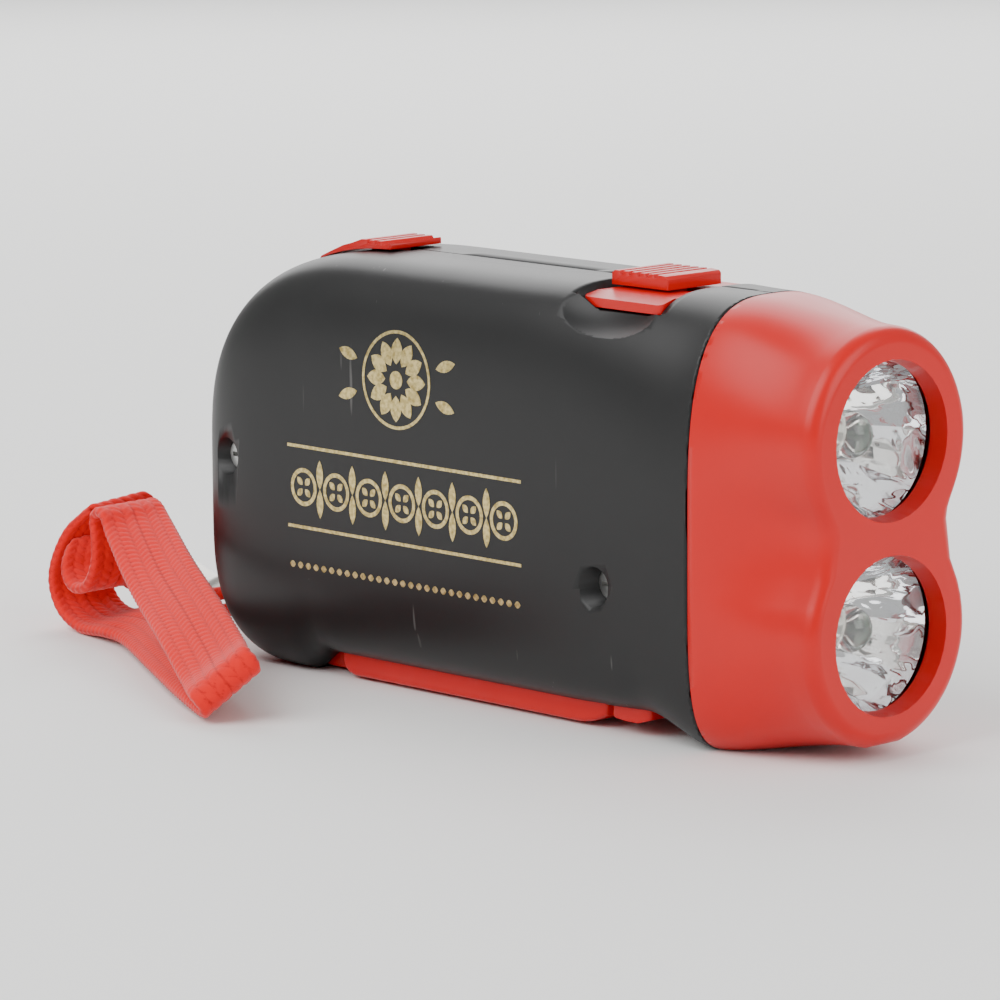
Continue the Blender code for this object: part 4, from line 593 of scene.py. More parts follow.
def bezel_ring(x, count):
    """Cross-section of the bezel: the housing's at the seam, the outline round both lamps at the front."""
    share = eased(SEAM_X - 1.0, FRONT_X - 2.0, x)
    edge = max(0.0, x - (FRONT_X - EDGE_RADIUS))
    rounding = EDGE_RADIUS - math.sqrt(max(EDGE_RADIUS ** 2 - edge ** 2, 0.0))
    reach = LAMP_SPACING / 2
    ring = []
    for start in housing_ring(SEAM_X, count, floor=-10.0):
        angle = math.atan2(start.y, start.z - LENS_CENTRE_Z)
        along, across = max(abs(math.cos(angle)), 1e-6), max(abs(math.sin(angle)), 1e-6)
        lobe = reach * along + math.sqrt(max(LOBE_RADIUS ** 2 - (reach * across) ** 2, 0.0))
        waist = min(WAIST_HALF_WIDTH / across, reach / along)
        front = (lobe ** LOBE_POWER + waist ** LOBE_POWER) ** (1 / LOBE_POWER)
        radius = math.hypot(start.y, start.z - LENS_CENTRE_Z) * (1 - share) + front * share - rounding
        z = LENS_CENTRE_Z + radius * math.cos(angle)
        ring.append(Vector((x, radius * math.sin(angle), max(z, 0.0))))
    return ring


def lofted(rings, rear_tip=None):
    """Closed body through rings of equal count, in millimetres."""
    mesh = bmesh.new()
    rows = [[mesh.verts.new(point) for point in ring] for ring in rings]
    count = len(rows[0])
    for near, far in zip(rows, rows[1:]):
        for index in range(count):
            after = (index + 1) % count
            mesh.faces.new((near[index], near[after], far[after], far[index]))
    if rear_tip is None:
        mesh.faces.new(list(reversed(rows[0])))
    else:
        tip = mesh.verts.new(rear_tip)
        for index in range(count):
            mesh.faces.new((tip, rows[0][(index + 1) % count], rows[0][index]))
    mesh.faces.new(rows[-1])
    bmesh.ops.recalc_face_normals(mesh, faces=mesh.faces)
    return mesh


def between(values, parts):
    """Values with each stretch between them cut into equal parts."""
    out = [values[0]]
    for low, high in zip(values, values[1:]):
        out += [low + (high - low) * k / parts for k in range(1, parts + 1)]
    return out


def housing_form(parts, count):
    """Outside of the housing, each stretch of its packed form cut into so many parts."""
    start, end = REAR_X + TOP_RUN, SEAM_X + SEAM_OVERRUN
    turns = between((HOUSING_TURNS[0] / 4,) + HOUSING_TURNS, parts) if parts > 1 else HOUSING_TURNS
    places = [REAR_X + SIDE_RUN * (1 - math.cos(math.radians(turn))) for turn in turns]
    places += between((places[-1], BELLY_FRONT, start), parts)[1:-1]
    places += [start + (end - start) * share for share in between(HOUSING_SHARES, parts)]
    return lofted([housing_ring(x, count) for x in sorted(places)], Vector((REAR_X, 0.0, SIDE_CENTRE_Z)))


def bezel_form(parts, count, rear_x):
    """Outside of the bezel, cut in the same way and run on to the rear where rear_x lies behind it."""
    places = [SEAM_X + SEAM_GAP]
    places += [SEAM_X + (FRONT_X - SEAM_X) * share for share in between(BEZEL_SHARES, parts)]
    if parts > 1:
        places = between(places[:2], parts) + places[2:]
    turns = between(BEZEL_TURNS, parts)
    places += [FRONT_X - EDGE_RADIUS * (1 - math.sin(math.radians(turn))) for turn in turns]
    rings = [bezel_ring(x, count) for x in places]
    if rear_x < places[0]:
        rings.insert(0, [Vector((rear_x, point.y, point.z)) for point in rings[0]])
    return lofted(rings)


def scoop_form(side):
    """Hollow in the upper side edge that the front switch plate stands out into."""
    mesh = bmesh.new()
    bmesh.ops.create_uvsphere(mesh, u_segments=160, v_segments=80, radius=1.0)
    for vert in mesh.verts:
        vert.co = Vector((SCOOP_X, side * SCOOP_SIDE_Y, SCOOP_Z)) + vert.co * Vector(SCOOP_RADII)
    return mesh


def refined(node_name, coarse, fine):
    """Copy of a node whose faceted outer skin gives way to the same form at a fine step."""
    mesh = bmesh.new()
    mesh.from_mesh(frame["nodes"][node_name].data)
    bmesh.ops.scale(mesh, vec=(1 / MM, 1 / MM, 1 / MM), verts=mesh.verts)
    bmesh.ops.remove_doubles(mesh, verts=mesh.verts, dist=0.001)
    skin, form = BVHTree.FromBMesh(coarse), BVHTree.FromBMesh(fine)
    for vert in mesh.verts:
        if skin.find_nearest(vert.co)[3] < SKIN_REACH:
            outward = form.find_nearest(vert.co)[1]
            if abs(vert.co.x - SEAM_X) < SEAM_REACH:
                outward = Vector((0.0, outward.y, outward.z)).normalized()
            vert.co += outward * SKIN_LIFT
    work = placed("work", baked("work", mesh))
    helpers = []
    for operation, shape in (("INTERSECT", fine.copy()), ("DIFFERENCE", scoop_form(-1)),
                             ("DIFFERENCE", scoop_form(1))):
        helpers.append(placed("helper", baked("helper", shape)))
        cut = work.modifiers.new("cut", "BOOLEAN")
        cut.operation, cut.solver, cut.object = operation, "EXACT", helpers[-1]
    data = applied(work)
    for helper in helpers:
        bpy.data.objects.remove(helper)
    mesh = bmesh.new()
    mesh.from_mesh(data)
    bmesh.ops.dissolve_degenerate(mesh, edges=mesh.edges, dist=0.002)
    bmesh.ops.remove_doubles(mesh, verts=mesh.verts, dist=0.001)
    if not 0.97 < mesh.calc_volume() / volume_of(node_name) < 1.03:
        raise RuntimeError("the fine skin of " + node_name + " did not close")
    bmesh.ops.scale(mesh, vec=(MM, MM, MM), verts=mesh.verts)
    return mesh


def volume_of(node_name):
    """Volume of a node in cubic millimetres."""
    mesh = bmesh.new()
    mesh.from_mesh(frame["nodes"][node_name].data)
    volume = mesh.calc_volume() / MM ** 3
    mesh.free()
    return volume


# Settings that a user would change

class FlashlightPlastics(bpy.types.PropertyGroup):
    """Colours and finish of the moulded parts."""
    case_colour: FloatVectorProperty(name="Case colour", description="Colour of the two housing halves",
                                     subtype="COLOR", size=3, default=linear("#0B0B0C"))
    trim_colour: FloatVectorProperty(name="Trim colour", description="Colour of bezel, slides and lever",
                                     subtype="COLOR", size=3, default=linear("#C60603"))
    grain: FloatProperty(name="Grain", description="Size of the case's moulded grain in millimetres",
                         default=0.35, min=0.05, max=2.0)
    wear: FloatProperty(name="Wear", description="Strength of the scratches and dust", subtype="FACTOR",
                        default=0.2, min=0.0, max=1.0)


class FlashlightLamps(bpy.types.PropertyGroup):
    """Shape of the reflectors and lamp bullets."""
    flutes: IntProperty(name="Flutes", description="Shallow facets round each reflector", default=9, min=3,
                        max=40)
    flute_depth: FloatProperty(name="Flute depth", description="Depth of each facet", subtype="DISTANCE",
                               default=0.00055, min=0.0, max=0.002)
    bullet_radius: FloatProperty(name="Bullet radius", description="Radius of the lamp bullets",
                                 subtype="DISTANCE", default=0.00275, min=0.001, max=0.004)


class FlashlightStrap(bpy.types.PropertyGroup):
    """Woven strap and the cord loop that ties it on."""
    width: FloatProperty(name="Width", description="Width of the strap", subtype="DISTANCE", default=0.0092)
    thickness: FloatProperty(name="Thickness", description="Thickness of the strap", subtype="DISTANCE",
                             default=0.0014)
    ridges: IntProperty(name="Ridges", description="Lengthwise ridges in the weave", default=6, min=1, max=20)
    stitch: FloatProperty(name="Stitch", description="Length of one stitch", subtype="DISTANCE",
                          default=0.00115)
    cord_radius: FloatProperty(name="Cord radius", description="Radius of the cord loop", subtype="DISTANCE",
                               default=0.0009)
    colour: FloatVectorProperty(name="Colour", description="Colour of the yarn", subtype="COLOR", size=3,
                                default=linear("#E01613"))


class FlashlightOrnament(bpy.types.PropertyGroup):
    """Gold foil ornament on the side."""
    shown: BoolProperty(name="Ornament", description="Whether the gold ornament is stamped on the side",
                        default=True)
    petals: IntProperty(name="Petals", description="Petals of the rosette", default=12, min=4, max=40)
    links: IntProperty(name="Links", description="Links in the frieze below the rosette", default=7, min=1,
                       max=30)
    beads: IntProperty(name="Beads", description="Beads in the lowest row", default=29, min=1, max=99)


class FlashlightStage(bpy.types.PropertyGroup):
    """Floor and light."""
    floor_colour: FloatVectorProperty(name="Floor colour", description="Colour of the floor", subtype="COLOR",
                                      size=3, default=linear("#F2F2F1"))
    key_power: FloatProperty(name="Key light", description="Power of the main softbox in watts", default=11.0,
                             min=0.0)
    world_strength: FloatProperty(name="Sky", description="Strength of the even light from all round",
                                  default=0.6, min=0.0)


# Stage

class FLASHLIGHT_OT_stage(bpy.types.Operator):
    """Make the floor, the softboxes and the camera"""
    bl_idname = "flashlight.stage"
    bl_label = "Stage"

    def execute(self, context):
        settings = context.scene.flashlight_stage
        self.make_camera(context)
        self.make_dish(settings)
        self.make_softbox("key", (-0.15, -0.75, 0.75), 0.9, settings.key_power)
        self.make_softbox("front_fill", (0.95, 0.15, 0.5), 0.8, settings.key_power * 0.55)
        self.make_softbox("rear_top", (-0.6, 0.55, 0.6), 1.0, settings.key_power * 0.9)
        world = bpy.data.worlds.new("Even studio light")
        world.use_nodes = True
        background = world.node_tree.nodes["Background"]
        background.inputs["Color"].default_value = (1.0, 1.0, 1.0, 1.0)
        background.inputs["Strength"].default_value = settings.world_strength
        context.scene.world = world
        return {"FINISHED"}

    def make_camera(self, context):
        heading, height, roll = (math.radians(v) for v in (CAMERA_HEADING, CAMERA_HEIGHT_ANGLE, CAMERA_ROLL))
        back = Vector((math.sin(heading) * math.cos(height), -math.cos(heading) * math.cos(height),
                       math.sin(height)))
        level = Vector((math.cos(heading), math.sin(heading), 0.0))
        upright = back.cross(level)
        right = level * math.cos(roll) + upright * math.sin(roll)
        up = upright * math.cos(roll) - level * math.sin(roll)
        centre = PICTURE_PIXELS / 2
        aim = -back + (right * (centre - AXIS_PIXEL[0]) - up * (centre - AXIS_PIXEL[1])) / FOCAL_PIXELS
        z_axis = -aim.normalized()
        x_axis = (right - z_axis * right.dot(z_axis)).normalized()
        y_axis = z_axis.cross(x_axis)
        data = bpy.data.cameras.new("camera")
        data.sensor_width = SENSOR_MM
        data.lens = FOCAL_PIXELS / PICTURE_PIXELS * SENSOR_MM
        data.clip_start, data.clip_end = 0.01, 20.0
        camera = placed("camera", data)
        turn = Matrix((x_axis, y_axis, z_axis)).transposed().to_4x4()
        camera.matrix_world = Matrix.Translation(CAMERA_PLACE) @ turn
        context.scene.camera = camera

    def make_dish(self, settings):
        """Floor that curves up into a wall all round, far outside every camera."""
        flat, curve, wall = 2.2, 0.8, 2.4
        profile = [(0.0, 0.0), (0.5, 0.0), (1.4, 0.0), (flat, 0.0)]
        for step in range(1, 9):
            turn = math.radians(90 * step / 8)
            profile.append((flat + curve * math.sin(turn), curve * (1 - math.cos(turn))))
        profile.append((flat + curve, wall))
        rows = [[(x, y, z) for x, y in circle(radius, 72)] for radius, z in profile]
        data = baked("floor", turned(rows, 72))
        data.shade_smooth()
        tone = Vector(settings.floor_colour)
        data.materials.append(patterned(
            "Paper, white, matt", 240.0, 2.0, stops=((0.2, (*(tone * 0.99), 1.0)), (0.8, (*tone, 1.0))),
            Roughness=0.9, Specular_IOR_Level=0.2))
        placed("floor", data)

    def make_softbox(self, name, place, size, power):
        data = bpy.data.lights.new(name, "AREA")
        data.shape = "SQUARE"
        data.size = size
        data.energy = power
        lamp = placed(name, data)
        lamp.location = place
        aim = Vector((0.0, 0.0, 0.02)) - Vector(place)
        lamp.rotation_euler = aim.to_track_quat("-Z", "Y").to_euler()


# Strap, loop and clip

class FLASHLIGHT_OT_strap(bpy.types.Operator):
    """Make the knitted strap, the cord loop and the steel clip between them"""
    bl_idname = "flashlight.strap"
    bl_label = "Wrist strap"

    def execute(self, context):
        settings = context.scene.flashlight_strap
        # The second colour of each yarn is painted shade, for the grooves of the weave and the braid.
        yarn = webbing_weave("Polyester webbing, red, knitted", settings.colour, "#970807")
        cord_yarn = webbing_weave("Polyester cord, red, braided", linear("#D41511"), "#8E0807")
        strap, strap_path, strap_length = self.make_strap(settings, yarn)
        loop, loop_path, loop_length = self.make_loop(settings, cord_yarn)
        clip = self.make_clip()
        return {"FINISHED"}

    def make_strap(self, settings, yarn):
        """Flat band whose knitted ridges and slanted stitches stand in its mesh."""
        middle = smooth_run([row[:3] for row in STRAP_COURSE], 24)
        across = smooth_run([row[3:] for row in STRAP_COURSE], 24)
        travelled, place, wide = even_run(middle, across, 0.19)
        along = np.gradient(place, axis=0)
        wide = unit(wide)
        up = unit(np.cross(along, wide))
        columns, edge_start = 34, 0.86
        ridge_steepness, lean, fullness, stitch_share, scallop_depth = 1.85, 1.05, 0.55, 0.58, 0.022
        share = np.linspace(-1.0, 1.0, columns + 1)
        upper = np.stack([share, np.ones_like(share)], axis=1)
        lower = np.stack([share[-2:0:-1], -np.ones(columns - 1)], axis=1)
        section = np.concatenate([upper, lower])
        half = settings.width / MM / 2
        thick = settings.thickness / MM / 2
        edge = np.clip((np.abs(section[:, 0]) - edge_start) / (1.0 - edge_start), 0.0, 1.0)
        rounding = np.sqrt(1.0 - edge ** 2)
        pitch = 2 * half / settings.ridges
        u = (section[:, 0] + 1.0) * half
        ridge_index = np.clip(np.floor(u / pitch), 0, settings.ridges - 1)
        s = np.clip(u / pitch - ridge_index - 0.5, -0.5, 0.5)
        slant = np.where(ridge_index % 2 == 0, 1.0, -1.0) * section[:, 1]
        ridge = np.sqrt(np.clip(1.0 - (ridge_steepness * s) ** 2, 0.0, 1.0))
        steps = travelled / (settings.stitch / MM)
        phase = steps[:, None] + (lean * slant * s + 0.5 * (ridge_index % 2))[None, :]
        stitch = np.abs(np.sin(math.pi * phase)) ** fullness
        # The relief shapes the ridges and stitches; the material also paints shade into the grooves from it.
        relief = ridge[None, :] * (1.0 - stitch_share + stitch_share * stitch)
        rise = section[:, 1][None, :] * (thick - STRAP_RELIEF + STRAP_RELIEF * relief) * rounding[None, :]
        scallop = scallop_depth * (np.abs(np.sin(math.pi * steps)) - 0.5)
        run = section[:, 0][None, :] * half * (1.0 + scallop[:, None] * (np.abs(section[:, 0]) > 0.8))
        rings = place[:, None, :] + wide[:, None, :] * run[:, :, None] + up[:, None, :] * rise[:, :, None]
        rings[:, :, 2] = np.maximum(rings[:, :, 2], 0.02)
        data = swept("woven_wrist_strap", rings * MM, relief)
        made = settle("woven_wrist_strap", data, yarn, "wrist_strap", 80.0)
        return made, [tuple(p) for p in (place[::4] * MM)], float(travelled[-1]) * MM

    def make_loop(self, settings, yarn):
        """Braided cord from the clip, round the bar in the housing, and back to the clip."""
        low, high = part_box("strap_bar")
        centre = (low + high) / 2 / MM
        radius = (high.z - low.z) / 2 / MM + 0.3 + settings.cord_radius / MM
        turn = []
        for degrees in range(-110, 111, 20):
            angle = math.radians(degrees)
            turn.append((centre.x + radius * math.cos(angle), 0.0, centre.z + radius * math.sin(angle)))
        middle = smooth_run(list(LOOP_OUT) + turn + list(LOOP_BACK), 10)
        travelled, place, side = even_run(middle, [(0.0, 1.0, 0.0)] * len(middle), 0.12)
        along = unit(np.gradient(place, axis=0))
        side = unit(side - along * (side * along).sum(axis=1, keepdims=True))
        up = np.cross(along, side)
        around = np.linspace(0.0, 2 * math.pi, 28, endpoint=False)
        strands, lay = 6, 2.4
        left = np.abs(np.sin(strands / 2 * around[None, :] + math.pi * travelled[:, None] / lay))
        right = np.abs(np.sin(strands / 2 * around[None, :] - math.pi * travelled[:, None] / lay))
        # The braid's relief also sets the painted shade in the grooves between its strands.
        relief = np.maximum(left, right)
        radii = settings.cord_radius / MM * (0.86 + 0.14 * relief)
        rings = place[:, None, :] + radii[:, :, None] * (
            side[:, None, :] * np.cos(around)[None, :, None] + up[:, None, :] * np.sin(around)[None, :, None])
        data = swept("braided_cord_loop", rings * MM, relief)
        made = settle("braided_cord_loop", data, yarn, "strap_loop", 80.0)
        return made, [tuple(p) for p in (place[::4] * MM)], float(travelled[-1]) * MM

    def make_clip(self):
        """Stamped steel clip, folded over the strap's two ends, its edges rounded."""
        steel = plated_steel("Steel, nickel plated, stamped", "#C9C7C2", 0.34, 0.25)
        mesh = merged_copy("strap_clip")
        soften(mesh, lambda edge: True, 0.5 * MM, 3)
        return settle("stamped_strap_clip", mesh, steel, "strap_clip", 40.0)


# Case

class FLASHLIGHT_OT_case(bpy.types.Operator):
    """Finish the two housing halves, the bezel and the screws"""
    bl_idname = "flashlight.case"
    bl_label = "Case"

    def execute(self, context):
        black, red = black_moulding(), red_moulding()
        coarse, fine = housing_form(1, 48), housing_form(4, 192)
        for name in ("housing_left", "housing_right"):
            settle("smooth_" + name, refined(name, coarse, fine), black, name, 32.0)
        coarse, fine = bezel_form(1, 48, SEAM_X), bezel_form(5, 192, SEAM_X - 6.0)
        settle("smooth_bezel", refined("bezel", coarse, fine), red, "bezel", 32.0)
        zinc = plated_steel("Steel, zinc plated, cold headed", "#C4C4C2", 0.30, 0.4)
        for name in ("housing_screw_rear", "housing_screw_front"):
            node_material(name, zinc)
        self.make_controls(red)
        return {"FINISHED"}

    def make_controls(self, red):
        """Slides, lever and lock with their edges rounded as a moulding's are."""
        for name, corner, edge_width in (("front_switch_cap", 0.9, 0.13), ("front_switch_plate", 1.4, 0.22),
                                         ("rear_slide_cap", 1.0, 0.12), ("lock_slide", 0.8, 0.25)):
            low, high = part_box(name)
            mesh = merged_copy(name)

            def at_corner(edge):
                direction = (edge.verts[1].co - edge.verts[0].co).normalized()
                middle = (edge.verts[0].co + edge.verts[1].co) / 2
                reach = max(abs(middle.y - low.y), abs(middle.y - high.y))
                return abs(direction.z) > 0.9 and reach > (high.y - low.y) - 0.05 * MM

            soften(mesh, at_corner, corner * MM, 4)

            def outer(edge):
                middle = (edge.verts[0].co + edge.verts[1].co) / 2
                return edge.calc_length() > 0.25 * MM and middle.z > low.z + (high.z - low.z) * 0.5

            soften(mesh, outer, edge_width * MM, 2)
            settle("rounded_" + name, mesh, red, name, 40.0)
        low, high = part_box("squeeze_lever")
        mesh = merged_copy("squeeze_lever")

        def rim(edge):
            return all(min(abs(v.co.y - low.y), abs(v.co.y - high.y)) < 0.01 * MM for v in edge.verts)

        soften(mesh, rim, 0.7 * MM, 3)
        settle("rounded_squeeze_lever", mesh, red, "squeeze_lever", 40.0)


# Lamps

class FLASHLIGHT_OT_lamps(bpy.types.Operator):
    """Make the lenses, the fluted reflectors and the lamp bullets"""
    bl_idname = "flashlight.lamps"
    bl_label = "Lamps"

    def execute(self, context):
        settings = context.scene.flashlight_lamps
        lens, mirror, epoxy = clear_lens(), metallised(), lamp_epoxy()
        lead = plated_steel("Steel, silver plated, stamped", "#DAD8D2", 0.2, 0.2)
        tree = self.reflector_tree()
        for level in ("upper", "lower"):
            self.make_lens(level, lens)
            self.make_reflector(level, tree, settings, mirror)
            self.make_bullet(level, settings, epoxy, lead)
        return {"FINISHED"}

    def spun(self, profile, centre, count):
        """Closed turned shape about the lamp's axis, from (x, radius) pairs that start and end on it."""
        rows = [[(x, centre.y + y, centre.z + z) for y, z in circle(radius, count)] for x, radius in profile]
        mesh = turned(rows, count)
        bmesh.ops.recalc_face_normals(mesh, faces=mesh.faces)
        return mesh

    def make_lens(self, level, finish):
        name = "lens_" + level
        low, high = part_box(name)
        centre = (low + high) / 2
        radius = (high.y - low.y) / 2
        chamfer, rim, dome = 0.15 * MM, 0.12 * MM, 0.08 * MM
        profile = [(low.x, 0.0), (low.x, radius * 0.5), (low.x, radius - chamfer),
                   (low.x + chamfer, radius), (high.x - rim, radius)]
        for step in range(7):
            share = 1 - step / 6
            profile.append((high.x - dome * share ** 2, radius * 0.99 * share))
        profile[-1] = (high.x, 0.0)
        settle("domed_" + name, self.spun(profile, centre, 96), finish, name, 30.0)

    def reflector_tree(self):
        """Fluted bowl from a grid: one side of the grid runs along the axis, the other round it."""
        tree = bpy.data.node_groups.new("Fluted reflector", "GeometryNodeTree")
        tree.interface.new_socket("Geometry", in_out="OUTPUT", socket_type="NodeSocketGeometry")
        labels = ("Rear X", "Depth", "Hole", "Mouth", "Centre Z", "Flutes", "Flute depth")
        for label in labels:
            tree.interface.new_socket(label, in_out="INPUT", socket_type="NodeSocketFloat")
        tree.interface.new_socket("Finish", in_out="INPUT", socket_type="NodeSocketMaterial")
        given = add(tree, "NodeGroupInput").outputs
        grid = add(tree, "GeometryNodeMeshGrid", inputs={
            "Size X": 1.0, "Size Y": 1.0, "Vertices X": 25, "Vertices Y": 145})
        place = add(tree, "GeometryNodeInputPosition")
        parts = add(tree, "ShaderNodeSeparateXYZ", inputs={0: place.outputs[0]})
        sockets = {"row": parts.outputs["X"], "column": parts.outputs["Y"]}
        sockets.update((label, given[label]) for label in labels)
        for made, operation, first, second in REFLECTOR_SUMS:
            sockets[made] = add(tree, "ShaderNodeMath", {"operation": operation}, {
                0: sockets.get(first, first), 1: sockets.get(second, second)}).outputs[0]
        where = add(tree, "ShaderNodeCombineXYZ", inputs={axis: sockets[axis] for axis in "XYZ"})
        moved = add(tree, "GeometryNodeSetPosition", inputs={
            "Geometry": grid.outputs["Mesh"], "Position": where.outputs[0]})
        closed = add(tree, "GeometryNodeMergeByDistance", inputs={
            "Geometry": moved.outputs[0], "Distance": 1e-6})
        real = add(tree, "GeometryNodeRealizeInstances", inputs={"Geometry": closed.outputs[0]})
        finished = add(tree, "GeometryNodeSetMaterial", inputs={
            "Geometry": real.outputs[0], "Material": given["Finish"]})
        add(tree, "NodeGroupOutput", inputs={0: finished.outputs[0]})
        return tree

    def make_reflector(self, level, tree, settings, finish):
        name = "reflector_" + level
        low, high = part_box(name)
        values = {"Rear X": low.x, "Depth": high.x - low.x, "Hole": REFLECTOR_HOLE * MM,
                  "Mouth": (high.y - low.y) / 2 - REFLECTOR_INSET * MM, "Centre Z": (low.z + high.z) / 2,
                  "Flutes": float(settings.flutes), "Flute depth": settings.flute_depth, "Finish": finish}
        mesh = bmesh.new()
        mesh.from_mesh(grown("bowl", tree, values))
        bmesh.ops.recalc_face_normals(mesh, faces=mesh.faces)
        outward = 0.0
        for face in mesh.faces:
            middle = face.calc_center_median()
            outward += Vector((0.0, middle.y, middle.z - values["Centre Z"])).dot(face.normal)
        if outward > 0:
            bmesh.ops.reverse_faces(mesh, faces=mesh.faces)
        work = placed("bowl", baked("bowl", mesh))
        wall = work.modifiers.new("wall", "SOLIDIFY")
        wall.thickness = REFLECTOR_WALL * MM
        wall.offset = -1.0
        settle("fluted_" + name, applied(work), finish, name, 25.0)

    def make_bullet(self, level, settings, epoxy, lead):
        """Cast bullet with a flange at its foot, round a post and a cup."""
        name = "led_" + level
        low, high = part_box(name)
        centre = (low + high) / 2
        radius = min(settings.bullet_radius, (high.y - low.y) / 2)
        flange = (high.y - low.y) / 2
        profile = [(low.x, 0.0), (low.x, flange), (low.x + 1.0 * MM, flange), (low.x + 1.02 * MM, radius)]
        dome_x = high.x - radius
        for degrees in range(0, 90, 9):
            turn = math.radians(degrees)
            profile.append((dome_x + radius * math.sin(turn), radius * math.cos(turn)))
        profile.append((high.x, 0.0))
        settle("cast_" + name, self.spun(profile, centre, 48), epoxy, name, 40.0)
        foot, top = low.x + 0.4 * MM, low.x + (high.x - low.x) * 0.55
        cup = [(foot, 0.0), (foot, 0.45 * MM), (top - 1.2 * MM, 0.5 * MM), (top, 1.15 * MM), (top, 0.95 * MM),
               (top - 0.5 * MM, 0.5 * MM), (top - 0.5 * MM, 0.0)]
        settle("lead_frame_" + level, self.spun(cup, centre, 20), lead, name, 30.0, replaces=False)


def grown(name, tree, values):
    """Mesh that a node tree makes from these inputs."""
    work = placed(name, bpy.data.meshes.new(name))
    modifier = work.modifiers.new("shape", "NODES")
    modifier.node_group = tree
    for item in tree.interface.items_tree:
        if item.in_out == "INPUT" and item.name in values:
            modifier[item.identifier] = values[item.name]
    return applied(work)


# Workings

class FLASHLIGHT_OT_workings(bpy.types.Operator):
    """Finish the gears, the generator and the electronics inside"""
    bl_idname = "flashlight.workings"
    bl_label = "Workings"

    def execute(self, context):
        acetal = plain_plastic("Acetal, natural white, moulded", "#DCDAD2", "#ECEBE6", 0.36, 6.0)
        dark = plain_plastic("Polyester resin, black, moulded", "#141416", "#222225", 0.48, 3.0)
        wire = plain_plastic("Vinyl insulation, red, extruded", "#B5150E", "#CC1D14", 0.4, 2.0)
        steel = plated_steel("Steel, ground and polished", "#BDBCB9", 0.24, 0.3)
        nickel = plated_steel("Steel, nickel plated, drawn", "#CFCBC2", 0.22, 0.5)
        ferrite = plain_plastic("Ferrite, sintered", "#2B2A2C", "#3C3B3D", 0.6, 1.2)
        finishes = {
            acetal: ("first_gear", "second_gear", "rotor_hub", "gear_plate", "coil_bobbin"),
            dark: ("front_switch_nub", "rear_switch_nub", "rectifier_chip", "smoothing_capacitor",
                   "cell_holder"),
            wire: ("lamp_wire_right", "lamp_wire_left"),
            steel: ("lever_pin", "lever_spring", "first_axle", "second_axle", "rotor_axle", "strap_bar",
                    "cell_contact", "front_switch_body", "rear_switch_body"),
            nickel: ("coin_cell_right", "coin_cell_left"),
            ferrite: ("magnet_ring",),
            circuit_laminate(): ("led_board", "circuit_board"),
            copper_wire(): ("coil_winding",),
            sheet_iron(): ("stator_core",),
        }
        for finish, names in finishes.items():
            for name in names:
                node_material(name, finish)
        return {"FINISHED"}


# Ornament

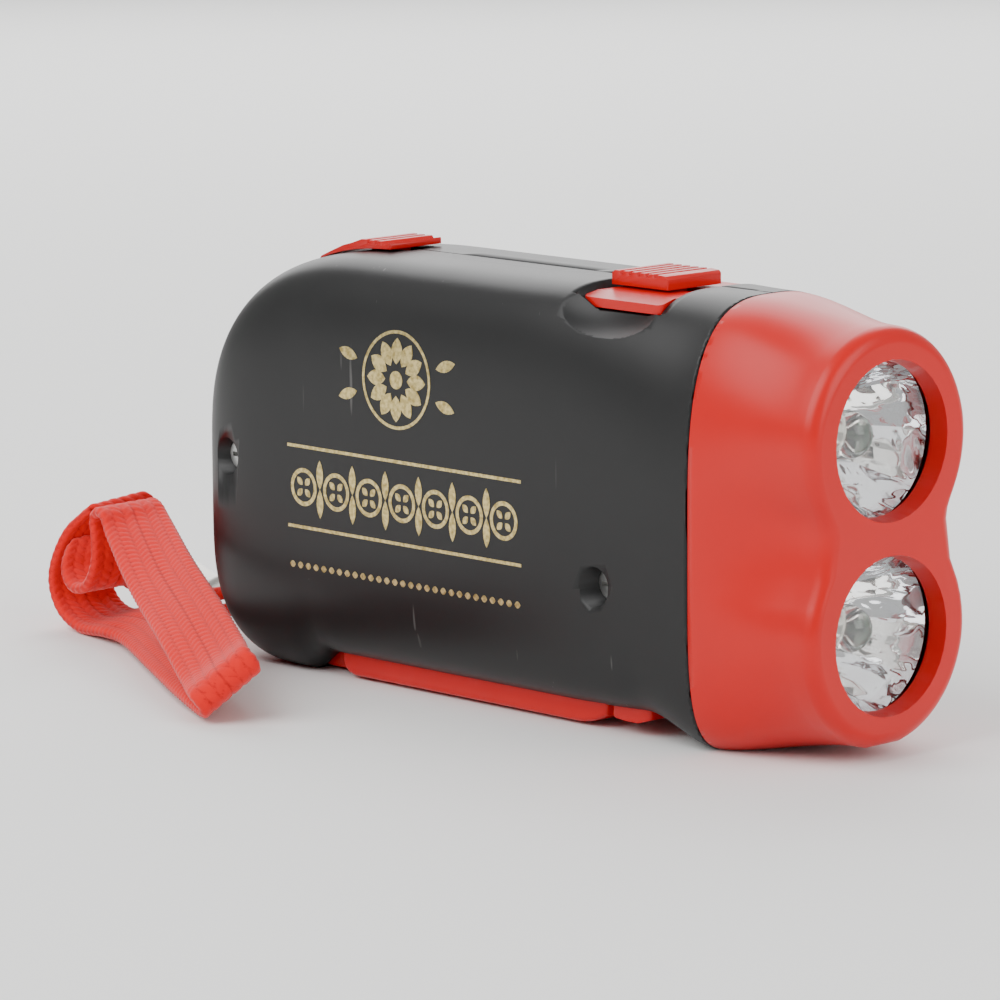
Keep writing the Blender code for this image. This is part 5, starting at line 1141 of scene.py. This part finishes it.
class FLASHLIGHT_OT_ornament(bpy.types.Operator):
    """Stamp the gold foil rosette, frieze and bead row on the side"""
    bl_idname = "flashlight.ornament"
    bl_label = "Gold ornament"

    def execute(self, context):
        settings = context.scene.flashlight_ornament
        if not settings.shown:
            return {"FINISHED"}
        foil = gold_foil()
        shapes = []
        for index in range(settings.petals):
            turn = 2 * math.pi * index / settings.petals
            shapes.append(self.petal(ORNAMENT_X, ROSETTE_Z, 1.9, 5.1, 0.95, turn))
        shapes.append(self.ring(ORNAMENT_X, ROSETTE_Z, 5.6, 6.0))
        shapes.append(self.ring(ORNAMENT_X, ROSETTE_Z, 0.0, 1.1))
        for turn in (math.pi - 0.28, math.pi + 0.28, 0.28, -0.28):
            shapes.append(self.petal(ORNAMENT_X, ROSETTE_Z, 7.2, 10.6, 0.7, turn))
        pitch = 2 * FRIEZE_REACH / settings.links
        for index in range(settings.links):
            x = FRIEZE_X - FRIEZE_REACH + pitch * (index + 0.5)
            size = 0.5 * pitch
            shapes.append(self.ring(x, FRIEZE_Z, size * 0.62, size * 0.80))
            for quarter in range(4):
                turn = math.pi / 4 + quarter * math.pi / 2
                shapes.append(self.petal(x, FRIEZE_Z, 0.35, size * 0.55, 0.42, turn))
            if index:
                for turn in (math.pi / 2, -math.pi / 2):
                    shapes.append(self.petal(x - pitch / 2, FRIEZE_Z, 0.0, 3.6, 0.6, turn))
        for z in (FRIEZE_Z + FRIEZE_LINE, FRIEZE_Z - FRIEZE_LINE):
            shapes.append(self.bar(FRIEZE_X, z, FRIEZE_REACH, 0.2))
        pitch = 2 * FRIEZE_REACH / settings.beads
        for index in range(settings.beads):
            x = FRIEZE_X - FRIEZE_REACH + pitch * (index + 0.5)
            shapes.append(self.petal(x - 0.5, BEAD_Z, 0.0, 1.0, 0.42, 0.0))
        self.stamp(shapes, foil)
        return {"FINISHED"}

    def petal(self, x, z, start, end, half_width, turn):
        """Leaf outline from start to end along a direction from (x, z)."""
        points = []
        for share in np.linspace(0.0, 1.0, 9):
            points.append((start + (end - start) * share, half_width * math.sin(math.pi * share) ** 0.8))
        points += [(along, -across) for along, across in reversed(points[1:-1])]
        out = []
        for along, across in points:
            out.append((x + along * math.cos(turn) - across * math.sin(turn),
                        z + along * math.sin(turn) + across * math.cos(turn)))
        return [out]

    def ring(self, x, z, inner, outer):
        """Band round (x, z) in short pieces, or a disc where the inner radius is nothing."""
        steps = 48
        far = [(x + along, z + across) for along, across in circle(outer, steps)]
        if inner == 0.0:
            return [far]
        near = [(x + along, z + across) for along, across in circle(inner, steps)]
        return [[near[k], far[k], far[(k + 1) % steps], near[(k + 1) % steps]] for k in range(steps)]

    def bar(self, x, z, reach, half):
        """Straight line in short pieces, which can follow the bulge of the housing."""
        steps = 24
        edges = [x - reach + 2 * reach * k / steps for k in range(steps + 1)]
        low, high = z - half, z + half
        return [[(a, low), (b, low), (b, high), (a, high)] for a, b in zip(edges, edges[1:])]

    def stamp(self, shapes, finish):
        """Lay the flat shapes on the near side of the housing, a hair proud of it."""
        source = frame["nodes"]["housing_right"].data
        tree = BVHTree.FromPolygons([v.co for v in source.vertices], [p.vertices for p in source.polygons])
        mesh = bmesh.new()
        for polygons in shapes:
            for polygon in polygons:
                corners = []
                for x, z in polygon:
                    hit = tree.ray_cast(Vector((x * MM, -1.0, z * MM)), Vector((0.0, 1.0, 0.0)))[0]
                    if hit is None:
                        raise RuntimeError("the ornament runs off the housing")
                    corners.append(mesh.verts.new((x * MM, hit.y - FOIL_LIFT * MM, z * MM)))
                mesh.faces.new(corners)
        bmesh.ops.remove_doubles(mesh, verts=mesh.verts, dist=1e-7)
        for face in mesh.faces:
            face.normal_update()
            if face.normal.y > 0:
                face.normal_flip()
        work = placed("foil", baked("foil", mesh))
        film = work.modifiers.new("film", "SOLIDIFY")
        film.thickness = FOIL_THICKNESS * MM
        film.offset = -1.0
        settle("gold_foil_ornament", applied(work), finish, "housing_right", 30.0, replaces=False)


class FLASHLIGHT_PT_panel(bpy.types.Panel):
    """Lists the steps and their settings."""
    bl_label = "Dynamo flashlight"
    bl_idname = "FLASHLIGHT_PT_panel"
    bl_space_type = "VIEW_3D"
    bl_region_type = "UI"
    bl_category = "Flashlight"

    def draw(self, context):
        layout = self.layout
        for operator, group in STEPS:
            layout.operator(operator.bl_idname)
            if group:
                settings = getattr(context.scene, group)
                for name in settings.__annotations__:
                    layout.prop(settings, name)


STEPS = (
    (FLASHLIGHT_OT_stage, "flashlight_stage"),
    (FLASHLIGHT_OT_strap, "flashlight_strap"),
    (FLASHLIGHT_OT_case, "flashlight_plastics"),
    (FLASHLIGHT_OT_lamps, "flashlight_lamps"),
    (FLASHLIGHT_OT_workings, None),
    (FLASHLIGHT_OT_ornament, "flashlight_ornament"),
)
GROUPS = {
    "flashlight_stage": FlashlightStage,
    "flashlight_strap": FlashlightStrap,
    "flashlight_plastics": FlashlightPlastics,
    "flashlight_lamps": FlashlightLamps,
    "flashlight_ornament": FlashlightOrnament,
}


def register():
    for name, group in GROUPS.items():
        bpy.utils.register_class(group)
        setattr(bpy.types.Scene, name, PointerProperty(type=group))
    for operator, group in STEPS:
        bpy.utils.register_class(operator)
    bpy.utils.register_class(FLASHLIGHT_PT_panel)


def unregister():
    bpy.utils.unregister_class(FLASHLIGHT_PT_panel)
    for operator, group in reversed(STEPS):
        bpy.utils.unregister_class(operator)
    for name, group in GROUPS.items():
        delattr(bpy.types.Scene, name)
        bpy.utils.unregister_class(group)


def main():
    register()
    bpy.ops.flashlight.stage()
    bpy.ops.flashlight.strap()
    bpy.ops.flashlight.case()
    bpy.ops.flashlight.lamps()
    bpy.ops.flashlight.workings()
    bpy.ops.flashlight.ornament()


if __name__ == "__main__":
    main()
